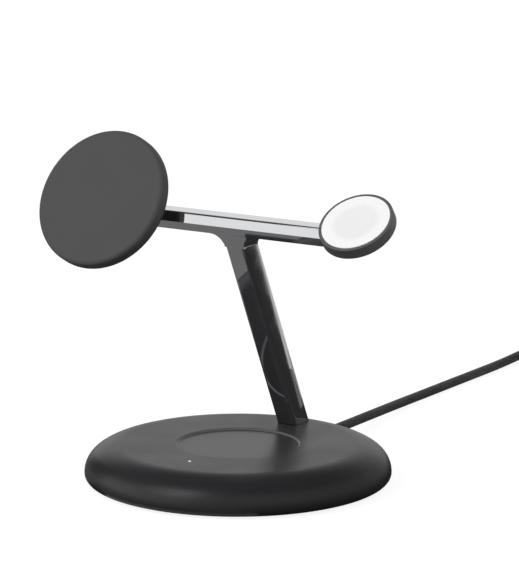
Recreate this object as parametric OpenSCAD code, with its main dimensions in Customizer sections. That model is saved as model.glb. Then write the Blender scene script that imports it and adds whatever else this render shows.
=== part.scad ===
// Charging stand for a phone, a watch and an earbud case.
// A weighted round base carries a leaning T-shaped arm with a large puck on its left end and a
// small one on its right end. The supply cord leaves the back of the base.
// The origin is on the table under the centre of the base, X runs along the arm's bar, the front
// is at -Y and Z is up. All sizes are in millimetres.

/* [Base] */
// Widest diameter of the base
base_d = 131; // [120:1:150]
// Height of the flat top above the table
base_top_z = 16; // [15.5:0.1:20]
// Height of the widest line of the rounded edge
base_waist_z = 4; // [3.6:0.1:4.4]
// Width of the rounded edge outside the flat top
edge_run = 15.3; // [13:0.1:17]
// Radius of the outer, tighter arc of the rounded edge
edge_tight_r = 10.5; // [9:0.1:10.8]
// Wall thickness of the upper shell
shell_wall = 2.6; // [2:0.1:3]
// Amount by which the rubber pad stands below the shell
pad_proud = 0.7; // [0.4:0.1:1]
// Thickness of the lower cover
cover_t = 2; // [1.8:0.1:2.6]
// Radius of the rubber pad
pad_r = 54; // [53:0.5:56]
// Depth of the pad's seat in the lower cover
pad_seat = 0.8; // [0.5:0.1:1]
// Thickness of the shell's side at its widest line
side_wall = 5.1; // [4.5:0.1:5.5]
// Radius of the earbud recess on the top
recess_r = 26.6; // [24:0.1:30]
// Depth of the earbud recess
recess_depth = 0.8; // [0.4:0.1:1]
// Bevel round the floor of the recess
recess_bevel = 0.6; // [0.2:0.1:0.8]

/* [Ballast and fixings] */
// Thickness of the steel ballast plate
ballast_t = 4; // [3:0.1:4.5]
// Gap between the ballast plate's rim and the shell
ballast_gap = 3.4; // [2.4:0.1:4.4]
// Distance of the cover screws inside the shell's wall
cover_screw_in = 11.4; // [10.4:0.1:12.4]
// Outer radius of the moulded screw posts
post_r = 3.6; // [3:0.1:4]
// Sideways distance of the ballast posts
ballast_post_x = 40; // [38:0.5:42]
// Forward and backward distance of the ballast posts
ballast_post_y = 21; // [20:0.5:23]
// Radius of the screw shanks
screw_r = 1.4; // [1.2:0.05:1.5]
// Radius of the screw heads
screw_head_r = 2.7; // [2.4:0.1:2.9]
// Height of the screw heads
screw_head_h = 1.8; // [1.4:0.1:2]
// Length of the ballast and socket screw shanks
screw_l = 6; // [5:0.5:7]

/* [Arm] */
// Distance of the stem's foot inside the back edge of the base
foot_in = 20.5; // [19.5:0.5:22.5]
// Forward lean of the stem from upright, degrees
lean = 25.7; // [20:0.1:28]
// Width of the stem
stem_w = 9.8; // [8.5:0.1:12]
// Depth of the stem, square to its front face
stem_d = 11.8; // [10:0.1:12]
// Rounding of the stem's front edges
stem_front_r = 1.5; // [0.8:0.1:2]
// Rounding of the stem's back edges
stem_back_r = 3.2; // [2:0.1:4]
// Height of the bar's centre line above the table
bar_z = 110.5; // [100:0.5:130]
// Rise of the bar's back top edge above its centre line
bar_up = 4.4; // [4:0.1:5]
// Drop of the bar's underside below its centre line
bar_down = 4.05; // [3.8:0.05:5]
// Distance of the bar's back face behind its centre line
bar_back = 5.2; // [4.8:0.1:6]
// Lean of the bar's upper front facet from upright, degrees
bar_facet_lean = 12.6; // [8:0.1:16]
// Rounding in the two inner corners between bar and stem
inner_fillet_r = 5.6; // [3:0.1:8]
// Radius of the wire channel in the stem and the bar
channel_r = 2.3; // [2.1:0.1:2.6]
// Height of the tenon that stands in the socket
tenon_h = 4.9; // [4.6:0.1:5.2]
// Step between the stem's outline and the tenon
tenon_step = 0.5; // [0.4:0.1:1]

/* [Arm socket] */
// Half width of the socket
socket_x = 12; // [11.5:0.5:13]
// Distance from the stem's foot forward to the socket's front face
socket_ahead = 14; // [13:0.5:16]
// Distance from the stem's foot back to the socket's back face
socket_behind = 8.4; // [8.2:0.1:9]
// Radius of the two clamp screws
clamp_screw_r = 1.5; // [1.2:0.1:1.6]

/* [Phone puck] */
// Distance of the puck's centre to the left of the stem
phone_x = 60; // [52:0.5:75]
// Radius of the puck
phone_r = 30.8; // [28:0.1:34]
// Thickness of the puck
phone_t = 6.8; // [6.6:0.1:8]
// Tilt of the face: its outward direction above the horizontal, degrees
phone_tilt = 29.2; // [15:0.1:45]
// Distance from the bar's centre line to the middle of the puck
phone_reach = 14; // [13:0.1:18]
// Rounding of the front edge
phone_front_r = 2; // [1:0.1:2.4]
// Rounding of the back edge
phone_back_r = 2.1; // [1:0.1:2.4]
// Thickness of the face
phone_face_t = 1.2; // [1:0.1:1.4]
// Thickness of the side wall
phone_wall = 1.8; // [1.4:0.1:2.2]
// Thickness of the back plate
phone_plate_t = 1.6; // [1.4:0.1:1.8]
// Radius of the neck between bar and puck
neck_r = 6; // [5.4:0.1:7]
// Radius of the neck's flared end
neck_flare_r = 10; // [8.5:0.1:14]
// Number of magnets in the ring
magnet_count = 16; // [10:1:20]
// Gap between the magnet ring and the side wall
magnet_gap = 2.6; // [1.6:0.1:2.8]
// Width of the magnet ring
magnet_w = 3.4; // [2:0.1:3.6]

/* [Watch puck] */
// Distance of the puck's centre to the right of the stem
watch_x = 61.8; // [52:0.5:75]
// Radius of the puck
watch_r = 16.1; // [15.5:0.1:20]
// Thickness of the puck
watch_t = 5.6; // [5.4:0.1:7]
// Tilt of the face: its outward direction above the horizontal, degrees
watch_tilt = 53; // [30:0.5:70]
// Distance from the bar's centre line to the middle of the puck
watch_reach = 7.6; // [7.6:0.1:12]
// Radius of the pale charging disc
disc_r = 14.75; // [14:0.05:14.9]
// Thickness of the pale disc at its rim
disc_t = 1.2; // [1.1:0.1:1.6]
// Amount by which the disc stands above the dark ring
disc_proud = 0.2; // [0:0.05:0.4]
// Radius of the hollow in the disc
dish_r = 10.8; // [8:0.1:13]
// Depth of the hollow in the disc
dish_depth = 0.6; // [0.3:0.05:0.7]
// Thickness of the puck's back wall
watch_back_t = 1.2; // [1:0.1:1.4]

/* [Electronics] */
// Thickness of the circuit boards
board_t = 1.2; // [0.8:0.1:1.4]
// Height of the spacers under the main board
spacer_h = 2; // [1.6:0.1:2.2]
// Distance of the status light in front of the centre
led_y = 37; // [35:0.5:40]
// Radius of the visible end of the light guide
led_r = 0.65; // [0.5:0.05:1]
// Outer radius of the earbud coil
bud_coil_r = 22; // [18:0.5:23]
// Thickness of the flat coils
coil_t = 1.1; // [0.9:0.05:1.2]
// Thickness of the ferrite sheets
ferrite_t = 0.6; // [0.4:0.1:0.7]

/* [Cord] */
// Diameter of the braided cord
cord_d = 4.3; // [4:0.1:5]
// Height of the cord's exit above the table
cord_z = 5.3; // [5.1:0.1:6]
// Distance of the strain relief's end behind the base's edge
relief_l = 10.5; // [8:0.5:14]
// Radius of the strain relief
relief_r = 3.4; // [3:0.1:3.6]

/* [Clearances] */
// Gap round a piece that drops into its seat
fit_gap = 0.1; // [0.05:0.05:0.15]
// Gap between the lower cover and the shell, on the radius
cover_gap = 0.15; // [0.1:0.05:0.3]
// Gap round the stem where it passes through the shell
stem_gap = 0.2; // [0.1:0.05:0.4]
// Gap round screw shanks in their holes
screw_gap = 0.05; // [0.02:0.01:0.1]

/* [Hidden] */
$fn = 96;
big_fn = 180;
base_r = base_d / 2;
cavity_r = base_r - side_wall;
ballast_r = cavity_r - ballast_gap;
cover_screw_r = cavity_r - cover_screw_in;
flat_r = base_r - edge_run;
rise = base_top_z - base_waist_z;
tight_r = min(edge_tight_r, rise - 0.8, edge_run - 1);
broad_r = ((edge_run - tight_r) * (edge_run - tight_r) + rise * rise - tight_r * tight_r)
  / (2 * (rise - tight_r));
tight_c = [base_r - tight_r, base_waist_z];
broad_c = [flat_r, base_top_z - broad_r];
arc_way = (tight_c - broad_c) / norm(tight_c - broad_c);
low_r = base_waist_z - pad_proud;

cover_top = pad_proud + cover_t;
pad_top = pad_proud + pad_seat;
ballast_top = cover_top + ballast_t;
roof_z = base_top_z - shell_wall;
recess_z = base_top_z - recess_depth;

stem_foot_y = base_r - foot_in;
socket_front_y = stem_foot_y - socket_ahead;
socket_back_y = stem_foot_y + socket_behind;
foot_run = tan(lean);
bar_y = stem_foot_y - foot_run * (bar_z - base_top_z);
function stem_y(z) = stem_foot_y + foot_run * (base_top_z - z);

socket_top = roof_z - 0.5;
tenon_bottom = socket_top - tenon_h;
tenon_x = stem_w / 2 - tenon_step;
tenon_mid_y = stem_y(socket_top);
tenon_half_y = stem_d / 2 / cos(lean) - 2 * tenon_step;
slot_r = channel_r + 0.2;
slot_z = tenon_bottom + slot_r + 0.4;

face_y = -stem_d / 2 - 0.03;
crease_z = -0.4;
crease_y = (face_y - crease_z * sin(lean)) / cos(lean);
bar_front_top = [crease_y + (bar_up - 0.5 - crease_z) * tan(bar_facet_lean), bar_up - 0.5];
bar_low_front = [(face_y + bar_down * sin(lean)) / cos(lean), -bar_down];
bar_outline = [[crease_y, crease_z], bar_front_top, [bar_back, bar_up], [bar_back, -bar_down],
  bar_low_front];
bar_rounding = [0, 0.8, 3, 3, 0.9];
bar_end_r = 4;
bar_past_phone = 5;
bar_past_watch = 2.4;

phone_z0 = -phone_t / 2;
phone_seam = phone_z0 + phone_back_r;
phone_floor = phone_z0 + phone_plate_t;
phone_roof = phone_t / 2 - phone_face_t;
phone_in_r = phone_r - phone_wall;
phone_spigot_r = 3.9;
phone_nut_h = 1.2;
phone_spigot_end = phone_floor + phone_nut_h + 0.1;
phone_coil_z = phone_roof - coil_t;
phone_ferrite_z = phone_coil_z - ferrite_t;
phone_board_t = 1;
magnet_out_r = phone_in_r - magnet_gap;
magnet_in_r = magnet_out_r - magnet_w;
shield_lip = 0.3;
phone_ferrite_r = magnet_in_r - 1;
phone_coil_out = phone_ferrite_r - 1;
phone_coil_in = 8;
phone_board_in = phone_coil_in;
phone_board_out = phone_coil_out - 1;
phone_magnet_t = 1.8;
shield_t = 0.5;

watch_z0 = -watch_t / 2;
watch_floor = watch_z0 + watch_back_t;
disc_top = watch_t / 2 + disc_proud;
disc_seat = disc_top - disc_t;
watch_in_r = disc_r - 0.85;
watch_spigot_r = 2.7;
watch_bore_r = 1.6;
watch_nut_h = 1;
watch_spigot_end = watch_floor + watch_nut_h + 0.1;
watch_coil_t = 0.9;
watch_ferrite_t = 0.5;
watch_coil_z = disc_seat - watch_coil_t;
watch_ferrite_z = watch_coil_z - watch_ferrite_t;
watch_board_t = 0.8;
watch_board_out = watch_in_r - 1.4;
watch_board_in = 5.6;
watch_ferrite_r = watch_in_r - 2.4;
watch_coil_out = watch_ferrite_r - 0.9;
watch_coil_in = 4.4;
watch_magnet_r = watch_coil_in - 0.6;

board_z = ballast_top + spacer_h;
board_top = board_z + board_t;
board_back_y = -28;
board_x = 30;
board_side_y = -40;
board_front_x = 21;
board_front_y = -50;
connector_x = 8;
power_connector_x = 19;
plug_side_z = board_top + 1.3;
bud_coil_z = roof_z - coil_t;
bud_ferrite_z = bud_coil_z - ferrite_t;
bud_carrier_t = 0.8;
bud_carrier_z = bud_ferrite_z - bud_carrier_t;
bud_carrier_r = bud_coil_r + 3.5;

lead_r = 0.9;
lead_x = 1.15;
lead_z = ballast_top + 1.9;
power_lead_r = 1.2;

cord_r = cord_d / 2;
relief_in_y = cavity_r - 2;
relief_wall_y = cavity_r - 0.2;
relief_end_y = base_r + relief_l;

tie_t = 0.8;
tie_gap = 0.1;
coil_mid_r = 25.8;
coil_half_w = 8.6;
coil_h = 8.6;
coil_x = 25.2;
coil_y = 285;
coil_z = tie_t + tie_gap;
coil_in_x = -7;
coil_in_y = 262;
coil_in_z = coil_z + 2.2;
coil_out_x = 57.4;
coil_out_y = 265;
coil_out_z = coil_z + coil_h - 2.2;
plug_y = 233;
plug_z = 3.3;
cord_points = [
  [0, relief_end_y, cord_z], [-0.5, 90, 5.1], [-1.9, 105, 4.5], [-3.5, 120, 3.8], [-5.1, 135, 3.1],
  [-6.4, 150, 2.5], [-7, 170, 2.2], [-7, 200, 2.2], [-7, 232, 2.2], [-7, 250, 2.7],
  [coil_in_x, coil_in_y, coil_in_z]
];
tail_points = [
  [coil_out_x, coil_out_y, coil_out_z], [coil_out_x, 258, 6.7], [coil_out_x, 248, 4.9],
  [coil_out_x, 240, 3.7], [coil_out_x, plug_y, plug_z]
];

cover_angles = [45, 135, 225, 315];
ballast_spots = [for (sx = [-1, 1]) for (sy = [-1, 1]) [sx * ballast_post_x, sy * ballast_post_y]];
socket_spots = [for (sx = [-1, 1]) for (y = [socket_front_y + 3.5, socket_front_y + 13])
  [sx * (socket_x - 3.4), y]];
board_spots = [for (sx = [-1, 1]) each [[sx * (board_x - 4), board_back_y - 4],
  [sx * (board_front_x - 3.5), board_front_y + 3.5]]];

// Outline with rounded corners, made of straight sides and true arcs
function way(a, b) = (b - a) / norm(b - a);
function half_angle(a, p, b) = acos(way(p, a) * way(p, b)) / 2;
function corner_cut(a, p, b, r) = r / tan(half_angle(a, p, b));
function corner_centre(a, p, b, r) =
  p + (way(p, a) + way(p, b)) / norm(way(p, a) + way(p, b)) * r / sin(half_angle(a, p, b));
function corner_points(a, p, b, r) = r <= 0 ? [p]
  : [p + way(p, a) * corner_cut(a, p, b, r), p + way(p, b) * corner_cut(a, p, b, r)];

module rounded_outline(p, r) {
  n = len(p);
  polygon([for (i = [0:n - 1]) each corner_points(p[(i + n - 1) % n], p[i], p[(i + 1) % n], r[i])]);
  for (i = [0:n - 1])
    if (r[i] > 0)
      translate(corner_centre(p[(i + n - 1) % n], p[i], p[(i + 1) % n], r[i]))
        circle(r = r[i]);
}

module rounded_box(x, y, z, r) {
  linear_extrude(z)
    rounded_outline([[-x / 2, -y / 2], [x / 2, -y / 2], [x / 2, y / 2], [-x / 2, y / 2]],
      [r, r, r, r]);
}

module ring(r_out, r_in, h) {
  rotate_extrude()
    translate([r_in, 0]) square([r_out - r_in, h]);
}

// Straight rod between two points
module rod(a, b, r) {
  v = b - a;
  translate(a)
    rotate([0, acos(v[2] / norm(v)), atan2(v[1], v[0])])
      cylinder(h = norm(v), r = r);
}

// Wire laid through a row of points, with its corners eased by a short cut
module wire(p, r, ease) {
  n = len(p);
  tube(aside = [0.31, 0.52, 0.8], sides = 8, r = r, p = [for (i = [0:n - 1]) each
    i == 0 || i == n - 1 ? [p[i]]
      : let (c = min(ease, norm(p[i] - p[i - 1]) / 2.2, norm(p[i] - p[i + 1]) / 2.2),
          a = p[i] + way(p[i], p[i - 1]) * c, b = p[i] + way(p[i], p[i + 1]) * c)
        [a, (a + 2 * p[i] + b) / 4, b]]);
}

// Smooth path through hand-chosen points
function blend(a, b, c, d, t) = 0.5 * (2 * b + (c - a) * t + (2 * a - 5 * b + 4 * c - d) * t * t
  + (3 * b - a - 3 * c + d) * t * t * t);
function smooth_path(p, n) = [
  for (i = [0:len(p) - 2]) for (k = [0:n - 1])
    blend(p[max(i - 1, 0)], p[i], p[i + 1], p[min(i + 2, len(p) - 1)], k / n),
  p[len(p) - 1]
];
function heading(p, i) = way(p[max(i - 1, 0)], p[min(i + 1, len(p) - 1)]);

// The rings of a tube are turned square to the path by a direction that it never follows
module tube(p, r, sides, aside = [0, 0, 1]) {
  n = len(p);
  rings = [for (i = [0:n - 1])
    let (t = i == 0 ? way(p[0], p[1]) : i == n - 1 ? way(p[n - 2], p[n - 1]) : heading(p, i),
      a = cross(t, aside) / norm(cross(t, aside)), b = cross(a, t))
    for (k = [0:sides - 1])
      p[i] + r * (cos(360 * (k + 0.5) / sides) * a + sin(360 * (k + 0.5) / sides) * b)];
  polyhedron(points = rings, faces = concat(
    [[for (k = [0:sides - 1]) k]],
    [for (i = [0:n - 2]) for (k = [0:sides - 1])
      [i * sides + k, (i + 1) * sides + k, (i + 1) * sides + (k + 1) % sides,
        i * sides + (k + 1) % sides]],
    [[for (k = [sides - 1:-1:0]) (n - 1) * sides + k]]), convexity = 6);
}

// Places that carry the two pucks: local Z is the puck's outward direction
module at_phone_neck() {
  translate([-phone_x, bar_y, bar_z]) rotate([90 - phone_tilt, 0, 0]) children();
}

module at_phone() {
  at_phone_neck() translate([0, 0, phone_reach]) children();
}

module at_watch_neck() {
  translate([watch_x, bar_y, bar_z]) rotate([90 - watch_tilt, 0, 0]) children();
}

module at_watch() {
  at_watch_neck() translate([0, 0, watch_reach]) children();
}

// Half section of the base, drawn in by an inset
module base_half(inset) {
  translate([0, base_waist_z]) square([flat_r, rise - inset]);
  intersection() {
    translate(broad_c) circle(r = broad_r - inset, $fn = big_fn);
    polygon([broad_c, broad_c + [0, 80], broad_c + 80 * arc_way]);
    translate([flat_r, base_waist_z]) square(60);
  }
  intersection() {
    translate(tight_c) circle(r = tight_r - inset, $fn = big_fn);
    translate([flat_r, base_waist_z]) square(60);
  }
}

module base_outer_half() {
  base_half(0);
  translate([0, pad_proud]) square([base_r - low_r, low_r]);
  intersection() {
    translate([base_r - low_r, base_waist_z]) circle(r = low_r);
    translate([flat_r, pad_proud]) square([60, low_r]);
  }
}

module base_room_half() {
  intersection() {
    union() {
      base_half(shell_wall);
      translate([0, -1]) square([cavity_r, base_waist_z + 1]);
    }
    translate([0, -1]) square([cavity_r, base_top_z]);
  }
}

module screw_post(x, y, z, hole_top) {
  translate([x, y, 0])
    difference() {
      translate([0, 0, z]) cylinder(h = roof_z - z + 0.01, r = post_r);
      translate([0, 0, z - 1]) cylinder(h = hole_top - z + 1, r = screw_r + screw_gap);
    }
}

module stem_bar(extra, z_low) {
  intersection() {
    translate([0, bar_y, bar_z]) rotate([lean, 0, 0])
      translate([0, 0, -140]) linear_extrude(140)
        rounded_outline([[-stem_w / 2 - extra, -stem_d / 2 - extra],
          [stem_w / 2 + extra, -stem_d / 2 - extra], [stem_w / 2 + extra, stem_d / 2 + extra],
          [-stem_w / 2 - extra, stem_d / 2 + extra]],
          [stem_front_r + extra, stem_front_r + extra, stem_back_r + extra, stem_back_r + extra]);
    translate([-50, -50, z_low]) cube([100, 150, 200]);
  }
}

module base_top_shell() {
  color("#3c3c3e")
    difference() {
      union() {
        difference() {
          rotate_extrude($fn = big_fn) base_outer_half();
          rotate_extrude($fn = big_fn) base_room_half();
        }
        for (a = cover_angles)
          screw_post(cover_screw_r * cos(a), cover_screw_r * sin(a), cover_top, cover_top + 7);
        for (s = ballast_spots)
          screw_post(s[0], s[1], ballast_top, ballast_top + 5);
      }
      rotate_extrude($fn = big_fn)
        polygon([[0, recess_z], [recess_r - recess_bevel, recess_z],
          [recess_r, recess_z + recess_bevel], [recess_r, base_top_z + 1], [0, base_top_z + 1]]);
      stem_bar(stem_gap, ballast_top);
      translate([0, -led_y, roof_z - 1]) cylinder(h = shell_wall + 2, r = led_r + fit_gap / 2);
      translate([0, cavity_r - 1, cord_z]) rotate([-90, 0, 0])
        cylinder(h = 12, r = relief_r + fit_gap);
    }
}

module base_bottom_cover() {
  color("#2a2a2c")
    difference() {
      translate([0, 0, pad_proud]) cylinder(h = cover_t, r = cavity_r - cover_gap, $fn = big_fn);
      translate([0, 0, pad_proud - 1])
        cylinder(h = pad_seat + 1, r = pad_r + fit_gap, $fn = big_fn);
      for (a = cover_angles)
        translate([cover_screw_r * cos(a), cover_screw_r * sin(a), 0]) {
          cylinder(h = cover_top + 1, r = screw_r + screw_gap);
          translate([0, 0, pad_top])
            cylinder(h = cover_top - pad_top, r1 = screw_head_r + screw_gap,
              r2 = screw_r + screw_gap);
        }
    }
}

module foot_pad() {
  color("#1d1d1f") cylinder(h = pad_top, r = pad_r, $fn = big_fn);
}

module ballast_plate() {
  notch_y = socket_back_y;
  color("#8b8d90")
    difference() {
      translate([0, 0, cover_top]) cylinder(h = ballast_t, r = ballast_r, $fn = big_fn);
      for (a = cover_angles)
        translate([cover_screw_r * cos(a), cover_screw_r * sin(a), 0])
          cylinder(h = 20, r = post_r + 2 * stem_gap);
      for (s = concat(ballast_spots, socket_spots))
        translate([s[0], s[1], cover_top - 1]) {
          cylinder(h = ballast_t + 2, r = screw_r + 2 * fit_gap);
          cylinder(h = 1 + screw_head_h + 2 * fit_gap, r = screw_head_r + 2 * fit_gap);
        }
      for (s = board_spots)
        translate([s[0], s[1], ballast_top - 2.6]) cylinder(h = 4, r = 1 + screw_gap);
      translate([-4, notch_y, 0]) cube([20, 20, 20]);
    }
}

module base_screws() {
  color("#7d7f82")
    for (a = cover_angles)
      translate([cover_screw_r * cos(a), cover_screw_r * sin(a), pad_top])
        difference() {
          union() {
            cylinder(h = cover_top - pad_top, r1 = screw_head_r, r2 = screw_r);
            cylinder(h = cover_top - pad_top + 6.5, r = screw_r);
          }
          translate([0, 0, -1]) cylinder(h = 1.6, r = 1.1, $fn = 6);
        }
}

// Pan-head screw that goes up into its hole from under the ballast
module up_screw(s) {
  seat = cover_top + screw_head_h + 2 * fit_gap;
  translate([s[0], s[1], seat])
    difference() {
      union() {
        translate([0, 0, -screw_head_h]) cylinder(h = screw_head_h, r = screw_head_r);
        cylinder(h = screw_l, r = screw_r);
      }
      translate([0, 0, -screw_head_h - 1]) cylinder(h = 2, r = 1.2, $fn = 6);
    }
}

module ballast_screws() {
  color("#85878a") for (s = ballast_spots) up_screw(s);
}

module socket_screws() {
  color("#85878a") for (s = socket_spots) up_screw(s);
}

module arm_socket() {
  mid = (socket_front_y + socket_back_y) / 2;
  color("#9a9b9d")
    difference() {
      translate([0, mid, ballast_top])
        rounded_box(2 * socket_x, socket_back_y - socket_front_y, socket_top - ballast_top, 2);
      translate([-tenon_x - fit_gap, tenon_mid_y - tenon_half_y - fit_gap, tenon_bottom])
        cube([2 * (tenon_x + fit_gap), 2 * (tenon_half_y + fit_gap), 20]);
      translate([0, tenon_mid_y, slot_z]) rotate([90, 0, 0])
        linear_extrude(40) {
          circle(r = slot_r);
          translate([-slot_r, 0]) square([2 * slot_r, 20]);
        }
      translate([-30, tenon_mid_y + 2, slot_z]) rotate([0, 90, 0])
        cylinder(h = 60, r = clamp_screw_r + screw_gap);
      for (s = socket_spots)
        translate([s[0], s[1], ballast_top - 1])
          cylinder(h = screw_l - ballast_t + screw_head_h + 1.6, r = screw_r + screw_gap);
    }
}

module clamp_screws() {
  color("#6f7174")
    for (sx = [-1, 1])
      translate([sx * tenon_x, tenon_mid_y + 2, slot_z]) rotate([0, sx * 90, 0])
        difference() {
          cylinder(h = socket_x - tenon_x - 0.4, r = clamp_screw_r);
          translate([0, 0, socket_x - tenon_x - 1.9]) cylinder(h = 4, r = 0.8, $fn = 6);
        }
}

// The bar runs past the middle of each neck and has softened ends
module bar_body() {
  left = -phone_x - bar_past_phone;
  right = watch_x + bar_past_watch;
  half = bar_up + 0.6;
  intersection() {
    translate([left - 1, bar_y, bar_z])
      rotate([90, 0, 90])
        linear_extrude(right - left + 2) rounded_outline(bar_outline, bar_rounding);
    translate([0, bar_y + 20, bar_z]) rotate([90, 0, 0])
      linear_extrude(40)
        rounded_outline([[left, -half], [right, -half], [right, half], [left, half]],
          [bar_end_r, bar_end_r, bar_end_r, bar_end_r]);
  }
}

module inner_fillets() {
  reach = stem_w / 2 + inner_fillet_r - 0.03;
  low = bar_z - bar_down - inner_fillet_r + 0.03;
  intersection() {
    translate([0, bar_y + 20, 0]) rotate([90, 0, 0])
      linear_extrude(40)
        difference() {
          translate([-reach, low]) square([2 * reach, inner_fillet_r + 2]);
          for (sx = [-1, 1])
            translate([sx * reach, low]) circle(r = inner_fillet_r);
        }
    translate([0, bar_y, bar_z]) rotate([lean, 0, 0])
      translate([-20, -stem_d / 2, -40]) cube([40, stem_d - 1.2, 80]);
    translate([-20, bar_y - 20, low - 1])
      cube([40, 20 + bar_back - 1.5 + (bar_down + inner_fillet_r) * foot_run, 40]);
  }
}

module phone_neck() {
  base = phone_reach + phone_z0;
  flare = neck_flare_r - neck_r;
  rotate_extrude() {
    difference() {
      union() {
        square([neck_r, base]);
        translate([0, base - flare - 0.6]) square([neck_flare_r, flare + 0.6]);
      }
      translate([neck_flare_r, base - flare - 0.6]) circle(r = flare);
    }
    square([phone_spigot_r, phone_reach + phone_spigot_end]);
    knuckle_half(neck_r);
  }
}

module knuckle_half(r) {
  intersection() {
    circle(r = r);
    translate([0, -r - 1]) square([r + 1, r + 1]);
  }
}

module watch_neck() {
  rotate_extrude() {
    square([neck_r - 0.8, watch_reach + watch_z0]);
    square([watch_spigot_r, watch_reach + watch_spigot_end]);
    knuckle_half(neck_r - 0.8);
  }
}

module arm_casting() {
  turn = [0, stem_y(slot_z), slot_z];
  top = [0, bar_y, bar_z];
  past = 0.8;
  color("#c9cbce")
    difference() {
      union() {
        stem_bar(0, socket_top);
        translate([-tenon_x, tenon_mid_y - tenon_half_y, tenon_bottom])
          cube([2 * tenon_x, 2 * tenon_half_y, tenon_h + 0.5]);
        difference() {
          bar_body();
          at_watch() translate([-watch_r - 3 * fit_gap, -20, watch_z0]) cube([40, 40, 20]);
        }
        inner_fillets();
        at_phone_neck() phone_neck();
        at_watch_neck() watch_neck();
      }
      rod(turn, top + 0.3 * way(turn, top), channel_r - 0.1);
      translate(turn) sphere(r = channel_r + 0.3);
      translate(turn + [0, past, 0]) rotate([90, 0, 0]) cylinder(h = 30, r = channel_r);
      translate([-phone_x - past, bar_y, bar_z]) rotate([0, 90, 0])
        cylinder(h = phone_x + watch_x + 2 * past, r = channel_r);
      at_phone_neck() sphere(r = channel_r + 0.3);
      at_phone_neck() translate([0, 0, -past]) cylinder(h = 60, r = channel_r);
      at_watch_neck() sphere(r = channel_r + 0.3);
      at_watch_neck() translate([0, 0, -past]) cylinder(h = 60, r = watch_bore_r);
    }
}

module main_circuit_board() {
  color("#1f5a3a")
    difference() {
      translate([0, 0, board_z])
        linear_extrude(board_t)
          rounded_outline([[-board_x, board_back_y], [-board_x, board_side_y],
            [-board_front_x, board_front_y], [board_front_x, board_front_y], [board_x, board_side_y],
            [board_x, board_back_y]], [1.5, 2, 2, 2, 2, 1.5]);
      for (s = board_spots)
        translate([s[0], s[1], board_z - 1]) cylinder(h = board_t + 2, r = 1 + 2 * fit_gap);
    }
}

module board_spacers() {
  color("#b6a25a")
    for (s = board_spots)
      translate([s[0], s[1], ballast_top]) ring(2.4, 1 + screw_gap, spacer_h);
}

module board_screws() {
  color("#8e9093")
    for (s = board_spots)
      translate([s[0], s[1], board_top])
        difference() {
          union() {
            translate([0, 0, -board_t - spacer_h - 2.2])
              cylinder(h = board_t + spacer_h + 2.2, r = 1);
            cylinder(h = 1.1, r = 1.9);
          }
          translate([0, 0, 0.4]) cylinder(h = 1, r = 0.7, $fn = 6);
        }
}

module control_chips() {
  color("#232426") {
    translate([-9, -43, board_top]) rounded_box(8, 8, 1, 0.3);
    translate([9, -43, board_top]) rounded_box(6, 6, 1, 0.3);
    translate([13, -35, board_top]) rounded_box(4, 5, 0.9, 0.3);
  }
}

module power_inductors() {
  color("#4b4d50")
    for (s = [[-20, -40.5], [20.5, -40]])
      translate([s[0], s[1], board_top]) {
        rounded_box(7, 7, 1.6, 0.8);
        cylinder(h = 2, r = 3);
      }
}

module capacitors() {
  color("#b9bbbe")
    for (s = [[-15, -33.5], [-20.5, -33], [-2, -45.5], [2.5, -45.5]])
      translate([s[0], s[1], board_top]) {
        cylinder(h = 2, r = 1.9);
        cylinder(h = 0.4, r = 2.1);
      }
}

module lead_connectors() {
  color("#e4e0d2")
    for (x = [-connector_x, connector_x, power_connector_x])
      translate([x - 2.5, board_back_y - 5, board_top])
        difference() {
          cube([5, 4.5, 2.6]);
          translate([0.8, -1, 1.4]) cube([3.4, 1.8, 2]);
        }
}

module status_led() {
  color("#f4f2e6") translate([-1, -led_y - 0.6, board_top]) cube([2, 1.2, 0.8]);
}

module led_light_guide() {
  color("#eef2f4")
    translate([0, -led_y, 0]) {
      translate([0, 0, board_top + 0.85]) cylinder(h = roof_z - 0.9 - board_top - 0.85 + 0.01, r = 1);
      translate([0, 0, roof_z - 0.9]) cylinder(h = 0.9, r = 1.6);
      translate([0, 0, roof_z - 0.1]) cylinder(h = shell_wall + 0.1, r = led_r);
    }
}

module earbud_coil() {
  color("#b06a35") translate([0, 0, bud_coil_z]) ring(bud_coil_r, 8, coil_t);
}

module earbud_ferrite() {
  color("#3a3a3d") translate([0, 0, bud_ferrite_z]) cylinder(h = ferrite_t, r = bud_coil_r + 1);
}

module earbud_coil_carrier() {
  color("#d9d7cf") {
    translate([0, 0, bud_carrier_z]) cylinder(h = bud_carrier_t, r = bud_carrier_r);
    translate([0, 0, bud_carrier_z])
      ring(bud_carrier_r, bud_carrier_r - 1.2, roof_z - bud_carrier_z);
  }
}

module earbud_lead() {
  z = bud_carrier_z - 1.9;
  color("#2b2b2d")
    wire([[2, 4 - bud_coil_r, bud_carrier_z], [2, 4 - bud_coil_r, z], [2, board_back_y + 4, z],
      [2, board_back_y + 1, board_top + 0.7], [2, board_back_y - 3, board_top + 0.7]], 0.6, 0.9);
}

module strain_relief() {
  color("#1c1c1e")
    difference() {
      translate([0, 0, cord_z]) rotate([-90, 0, 0])
        rotate_extrude()
          polygon([[0, relief_in_y], [relief_r + 1, relief_in_y], [relief_r + 1, relief_wall_y],
            [relief_r, relief_wall_y], [relief_r, base_r + 2.5], [relief_r - 0.8, base_r + 3.2],
            [relief_r - 0.8, base_r + 4.2], [relief_r - 0.3, base_r + 4.6],
            [relief_r - 0.3, base_r + 5.6], [relief_r - 0.9, base_r + 6.2],
            [relief_r - 0.9, base_r + 7.2], [relief_r - 0.5, base_r + 7.6],
            [cord_r + 0.4, relief_end_y], [0, relief_end_y]]);
      translate([-20, 40, cover_top - 20]) cube([40, 40, 20]);
    }
}

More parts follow.
